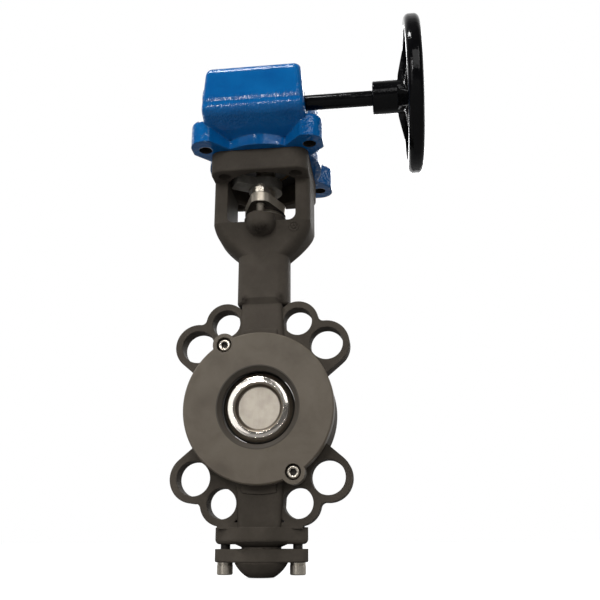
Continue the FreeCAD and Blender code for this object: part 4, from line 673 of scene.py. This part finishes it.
# gland studs with rolled thread, and their nuts
glandStud = {"radius": 2.98, "shank": 2.98, "pitch": 1.0, "depth": 0.5,
             "low": 123.5, "point": 2.58, "pointLong": 0.6, "threadLow": 131.0, "runOut": 0.8,
             "high": 155.5, "end": 2.28, "endLong": 0.7, "sides": 36, "sharp": 50.0, "offset": 20.0}
makeFasteners("threadedGlandStuds", "gland_studs", "housing", glandStud, stud(glandStud), "up",
              [(0.0, side * glandStud["offset"], 0.0) for side in (-1, 1)])
glandNut = {"across": 9.8, "tall": 5.0, "bore": 2.7, "sides": 72, "sharp": 20.0, "seat": 147.7}
makeFasteners("glandHexNuts", "gland_nuts", "housing", glandNut, hexNut(glandNut), "up",
              [(0.0, side * glandStud["offset"], glandNut["seat"]) for side in (-1, 1)])

# screws of the gearbox cover, round the open part of its rim
coverScrew = {"head": 3.3, "tall": 4.0, "shank": 2.0, "long": 11.5, "knurl": 0.1, "ridges": 36,
              "key": 3.0, "socket": 2.0, "mouth": 1.98, "bevel": 0.25, "cone": 0.5,
              "sides": 144, "sharp": 32.0, "circle": 36.5, "step": 50.0, "count": 5, "seat": 224.0}
middle = (coverScrew["count"] - 1) / 2
angles = [math.radians(90 + coverScrew["step"] * (i - middle)) for i in range(coverScrew["count"])]
makeFasteners("coverCapScrews", "cover_screws", "housing",
              coverScrew, capScrew(coverScrew), "up",
              [(coverScrew["circle"] * math.cos(a), coverScrew["circle"] * math.sin(a), coverScrew["seat"])
               for a in angles])

# end stop screws and their lock nuts at the back of the gearbox
stopScrew = {"radius": 3.97, "shank": 3.37, "pitch": 1.25, "depth": 0.6,
             "low": 13.74, "point": 2.6, "pointLong": 1.2, "threadLow": 38.0, "runOut": 1.0,
             "high": 55.74, "end": 3.07, "endLong": 0.8,
             "key": 4.0, "socket": 3.0, "mouth": 2.6, "bevel": 0.25, "cone": 0.5,
             "sides": 36, "sharp": 50.0, "offset": 21.0, "height": 204.5}
makeFasteners("threadedStopScrews", "stop_screws", "housing", stopScrew,
              stud(stopScrew) + socketRings(stopScrew["high"], stopScrew), "back",
              [(side * stopScrew["offset"], 0.0, stopScrew["height"]) for side in (-1, 1)])
stopNut = {"across": 13.0, "tall": 6.5, "bore": 3.6, "sides": 72, "sharp": 20.0, "seat": 43.0}
makeFasteners("stopHexNuts", "stop_lock_nuts", "housing", stopNut, hexNut(stopNut), "back",
              [(side * stopScrew["offset"], stopNut["seat"], stopScrew["height"]) for side in (-1, 1)])

# set screw of the stop collar
collarScrew = {"radius": 1.97, "low": 6.0, "point": 1.2, "pointLong": 0.8, "high": 11.2, "chamfer": 0.3,
               "key": 2.0, "socket": 1.6, "mouth": 1.3, "bevel": 0.15, "cone": 0.3,
               "sides": 36, "sharp": 32.0, "height": 162.5}
low, top, radius, chamfer = [collarScrew[name] for name in ("low", "high", "radius", "chamfer")]
makeFasteners("collarSetScrew", "stop_collar_screw", "stem_train", collarScrew,
              [(low, collarScrew["point"]), (low + collarScrew["pointLong"], radius),
               (top - chamfer, radius), (top, radius - chamfer)]
              + socketRings(top, collarScrew), "back", [(0.0, 0.0, collarScrew["height"])])

# button screw of the position indicator
indicatorScrew = {"head": 4.1, "tall": 3.0, "crown": 0.55, "steps": (0.0, 0.3, 0.6, 0.9, 1.2, math.pi / 2),
                  "shank": 2.5, "low": 207.0, "point": 2.1, "pointLong": 0.6, "seat": 229.6,
                  "key": 3.0, "socket": 1.8, "mouth": 1.86, "bevel": 0.2, "cone": 0.4,
                  "sides": 72, "sharp": 32.0}
low, seat, shank, crown = [indicatorScrew[name] for name in ("low", "seat", "shank", "crown")]
head, tall = indicatorScrew["head"], indicatorScrew["tall"]
dome = [(seat + tall * math.sin(t), head * (crown + (1 - crown) * math.cos(t)))
        for t in indicatorScrew["steps"]]
makeFasteners("indicatorButtonScrew", "indicator_screw", "stem_train", indicatorScrew,
              [(low, indicatorScrew["point"]), (low + indicatorScrew["pointLong"], shank), (seat, shank)]
              + dome + socketRings(seat + tall, indicatorScrew), "up", [(0.0, 0.0, 0.0)])
print("fasteners made")


# plain raised rings that the foundry leaves on the shoulder of the yoke; metres, the place is in front of it
foundryRing = {"place": (0.02271, -0.05, 0.12457), "rings": (0.0031, 0.0012), "wire": 0.0006, "steps": 48,
               "ridge": 10}


def makeFoundryRing():
    body = nodes["valve_body"]
    spot, facing = body.ray_cast(Vector(foundryRing["place"]), Vector((0.0, 1.0, 0.0)))[1:3]
    put = Matrix.Translation(spot) @ facing.to_track_quat("Z", "Y").to_matrix().to_4x4()
    wire, steps, ridge = foundryRing["wire"], foundryRing["steps"], foundryRing["ridge"]
    mesh = bmesh.new()
    for radius in foundryRing["rings"]:
        loops = []
        for step in range(steps):
            around = math.tau * step / steps
            loop = []
            for part in range(ridge):
                angle = math.tau * part / ridge
                reach = radius + wire * math.cos(angle)
                corner = Vector((reach * math.cos(around), reach * math.sin(around), wire * math.sin(angle)))
                loop.append(mesh.verts.new(put @ corner))
            loops.append(loop)
        for near, far in zip(loops, loops[1:] + loops[:1]):
            for part in range(ridge):
                after = (part + 1) % ridge
                mesh.faces.new((near[part], far[part], far[after], near[after]))
    data = bpy.data.meshes.new("foundryRing")
    mesh.to_mesh(data)
    mesh.free()
    data.shade_smooth()
    data.materials.append(body.data.materials[0])
    piece = bpy.data.objects.new("foundryRing", data)
    bpy.context.scene.collection.objects.link(piece)
    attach(piece, "housing")


makeFoundryRing()
print("foundry ring made")


# plain pale floor, soft lamps and the camera
studio = {"floorSize": 6.0, "floorDrop": 0.0005, "floorPaper": 0.2, "floorRough": 0.9, "floorGlow": 0.88,
          "floorShine": 0.06, "worldRange": (0.12, 0.4, -1.0, 1.0), "roomRange": (0.12, 1.0, -0.1, 0.8)}


def seenRays(tree):  # 1 where the camera sees something itself or through glass, and the mirror rays
    path = tree.nodes.new("ShaderNodeLightPath").outputs
    return sums(tree, "MAXIMUM", path["Is Camera Ray"], path["Is Transmission Ray"]), path["Is Glossy Ray"]


def makeFloor():
    low = cadBox[0][2] - studio["floorDrop"]
    half = studio["floorSize"] / 2
    corners = [(-half, -half, low), (half, -half, low), (half, half, low), (-half, half, low)]
    mesh = bpy.data.meshes.new("floor")
    mesh.from_pydata(corners, [], [(0, 1, 2, 3)])
    floor = bpy.data.objects.new("floor", mesh)
    bpy.context.scene.collection.objects.link(floor)
    paper = bpy.data.materials.new("paleFloor")
    paper.use_nodes = True
    tree = paper.node_tree
    shader = tree.nodes["Principled BSDF"]
    shader.inputs["Base Color"].default_value = (studio["floorPaper"],) * 3 + (1.0,)
    shader.inputs["Roughness"].default_value = studio["floorRough"]
    glow = tree.nodes.new("ShaderNodeEmission")
    seen, glossy = seenRays(tree)
    mirrored = times(tree, glossy, studio["floorShine"])
    bright = sums(tree, "ADD", times(tree, seen, studio["floorGlow"]), mirrored)
    tree.links.new(bright, glow.inputs["Strength"])
    both = tree.nodes.new("ShaderNodeAddShader")
    tree.links.new(shader.outputs[0], both.inputs[0])
    tree.links.new(glow.outputs[0], both.inputs[1])
    tree.links.new(both.outputs[0], tree.nodes["Material Output"].inputs["Surface"])
    mesh.materials.append(paper)


def makeWorld():
    world = bpy.data.worlds.new("studio")
    bpy.context.scene.world = world
    world.use_nodes = True
    tree = world.node_tree
    sky = tree.nodes["Background"]
    sky.inputs["Color"].default_value = (1.0, 1.0, 1.0, 1.0)
    coords = tree.nodes.new("ShaderNodeTexCoord")
    way = split(tree, coords.outputs["Generated"])
    seen, glossy = seenRays(tree)
    light = level(tree, way["Z"], *studio["worldRange"])
    mirror = level(tree, way["Y"], *studio["roomRange"])  # white sheet behind, dim room in front
    unseen = blendFloat(tree, glossy, light, mirror)
    tree.links.new(blendFloat(tree, seen, unseen, 1.0), sky.inputs["Strength"])


def addLamp(name, where, target, width, height, power):
    lamp = bpy.data.lights.new(name, "AREA")
    lamp.shape = "RECTANGLE"
    lamp.size, lamp.size_y = width, height
    lamp.energy = power
    holder = bpy.data.objects.new(name, lamp)
    bpy.context.scene.collection.objects.link(holder)
    holder.location = where
    holder.rotation_euler = (Vector(target) - Vector(where)).to_track_quat("-Z", "Y").to_euler()


makeFloor()
makeWorld()
lamps = {  # place, what it points at, width, height and watts
    "ceilingStrip": ((-0.45, -0.65, 1.5), (0.0, 0.0, 0.08), 1.0, 0.08, 17.0),
    "windowLamp": ((-0.29, -1.4, 0.5), (0.0, 0.0, 0.12), 0.05, 0.36, 3.6),
    "sidePanel": ((-0.68, -1.3, 0.22), (0.0, 0.0, 0.05), 0.7, 1.0, 3.0),
    "fillLamp": ((0.5, -1.5, 0.7), (0.0, 0.0, 0.05), 0.9, 0.7, 5.5),
    "rightStrip": ((0.75, -1.3, 0.95), (0.0, 0.0, 0.15), 0.06, 0.5, 1.0),
    "backLamp": ((0.3, 1.1, 0.8), (0.0, 0.0, 0.1), 0.8, 0.6, 8.0),
    "leftLamp": ((-1.2, 0.5, 0.5), (0.0, 0.0, 0.05), 0.6, 0.8, 3.0),
    "rightLamp": ((1.2, 0.5, 0.5), (0.0, 0.0, 0.05), 0.6, 0.8, 3.0),
}
for lampName, setting in lamps.items():
    addLamp(lampName, *setting)

cameraSetup = {"where": (0.08298, -0.47722, -0.07853), "turn": (107.8481, 0.2025, 7.0161), "lens": 44.08,
               "sensor": 36.0, "nearest": 0.01}
camera = bpy.data.cameras.new("camera")
camera.lens = cameraSetup["lens"]
camera.sensor_width = cameraSetup["sensor"]
camera.clip_start = cameraSetup["nearest"]
cameraHolder = bpy.data.objects.new("camera", camera)
cameraHolder.location = cameraSetup["where"]
cameraHolder.rotation_euler = [math.radians(angle) for angle in cameraSetup["turn"]]
bpy.context.scene.collection.objects.link(cameraHolder)
bpy.context.scene.camera = cameraHolder
bpy.context.scene.view_settings.view_transform = "Standard"
print("studio set")
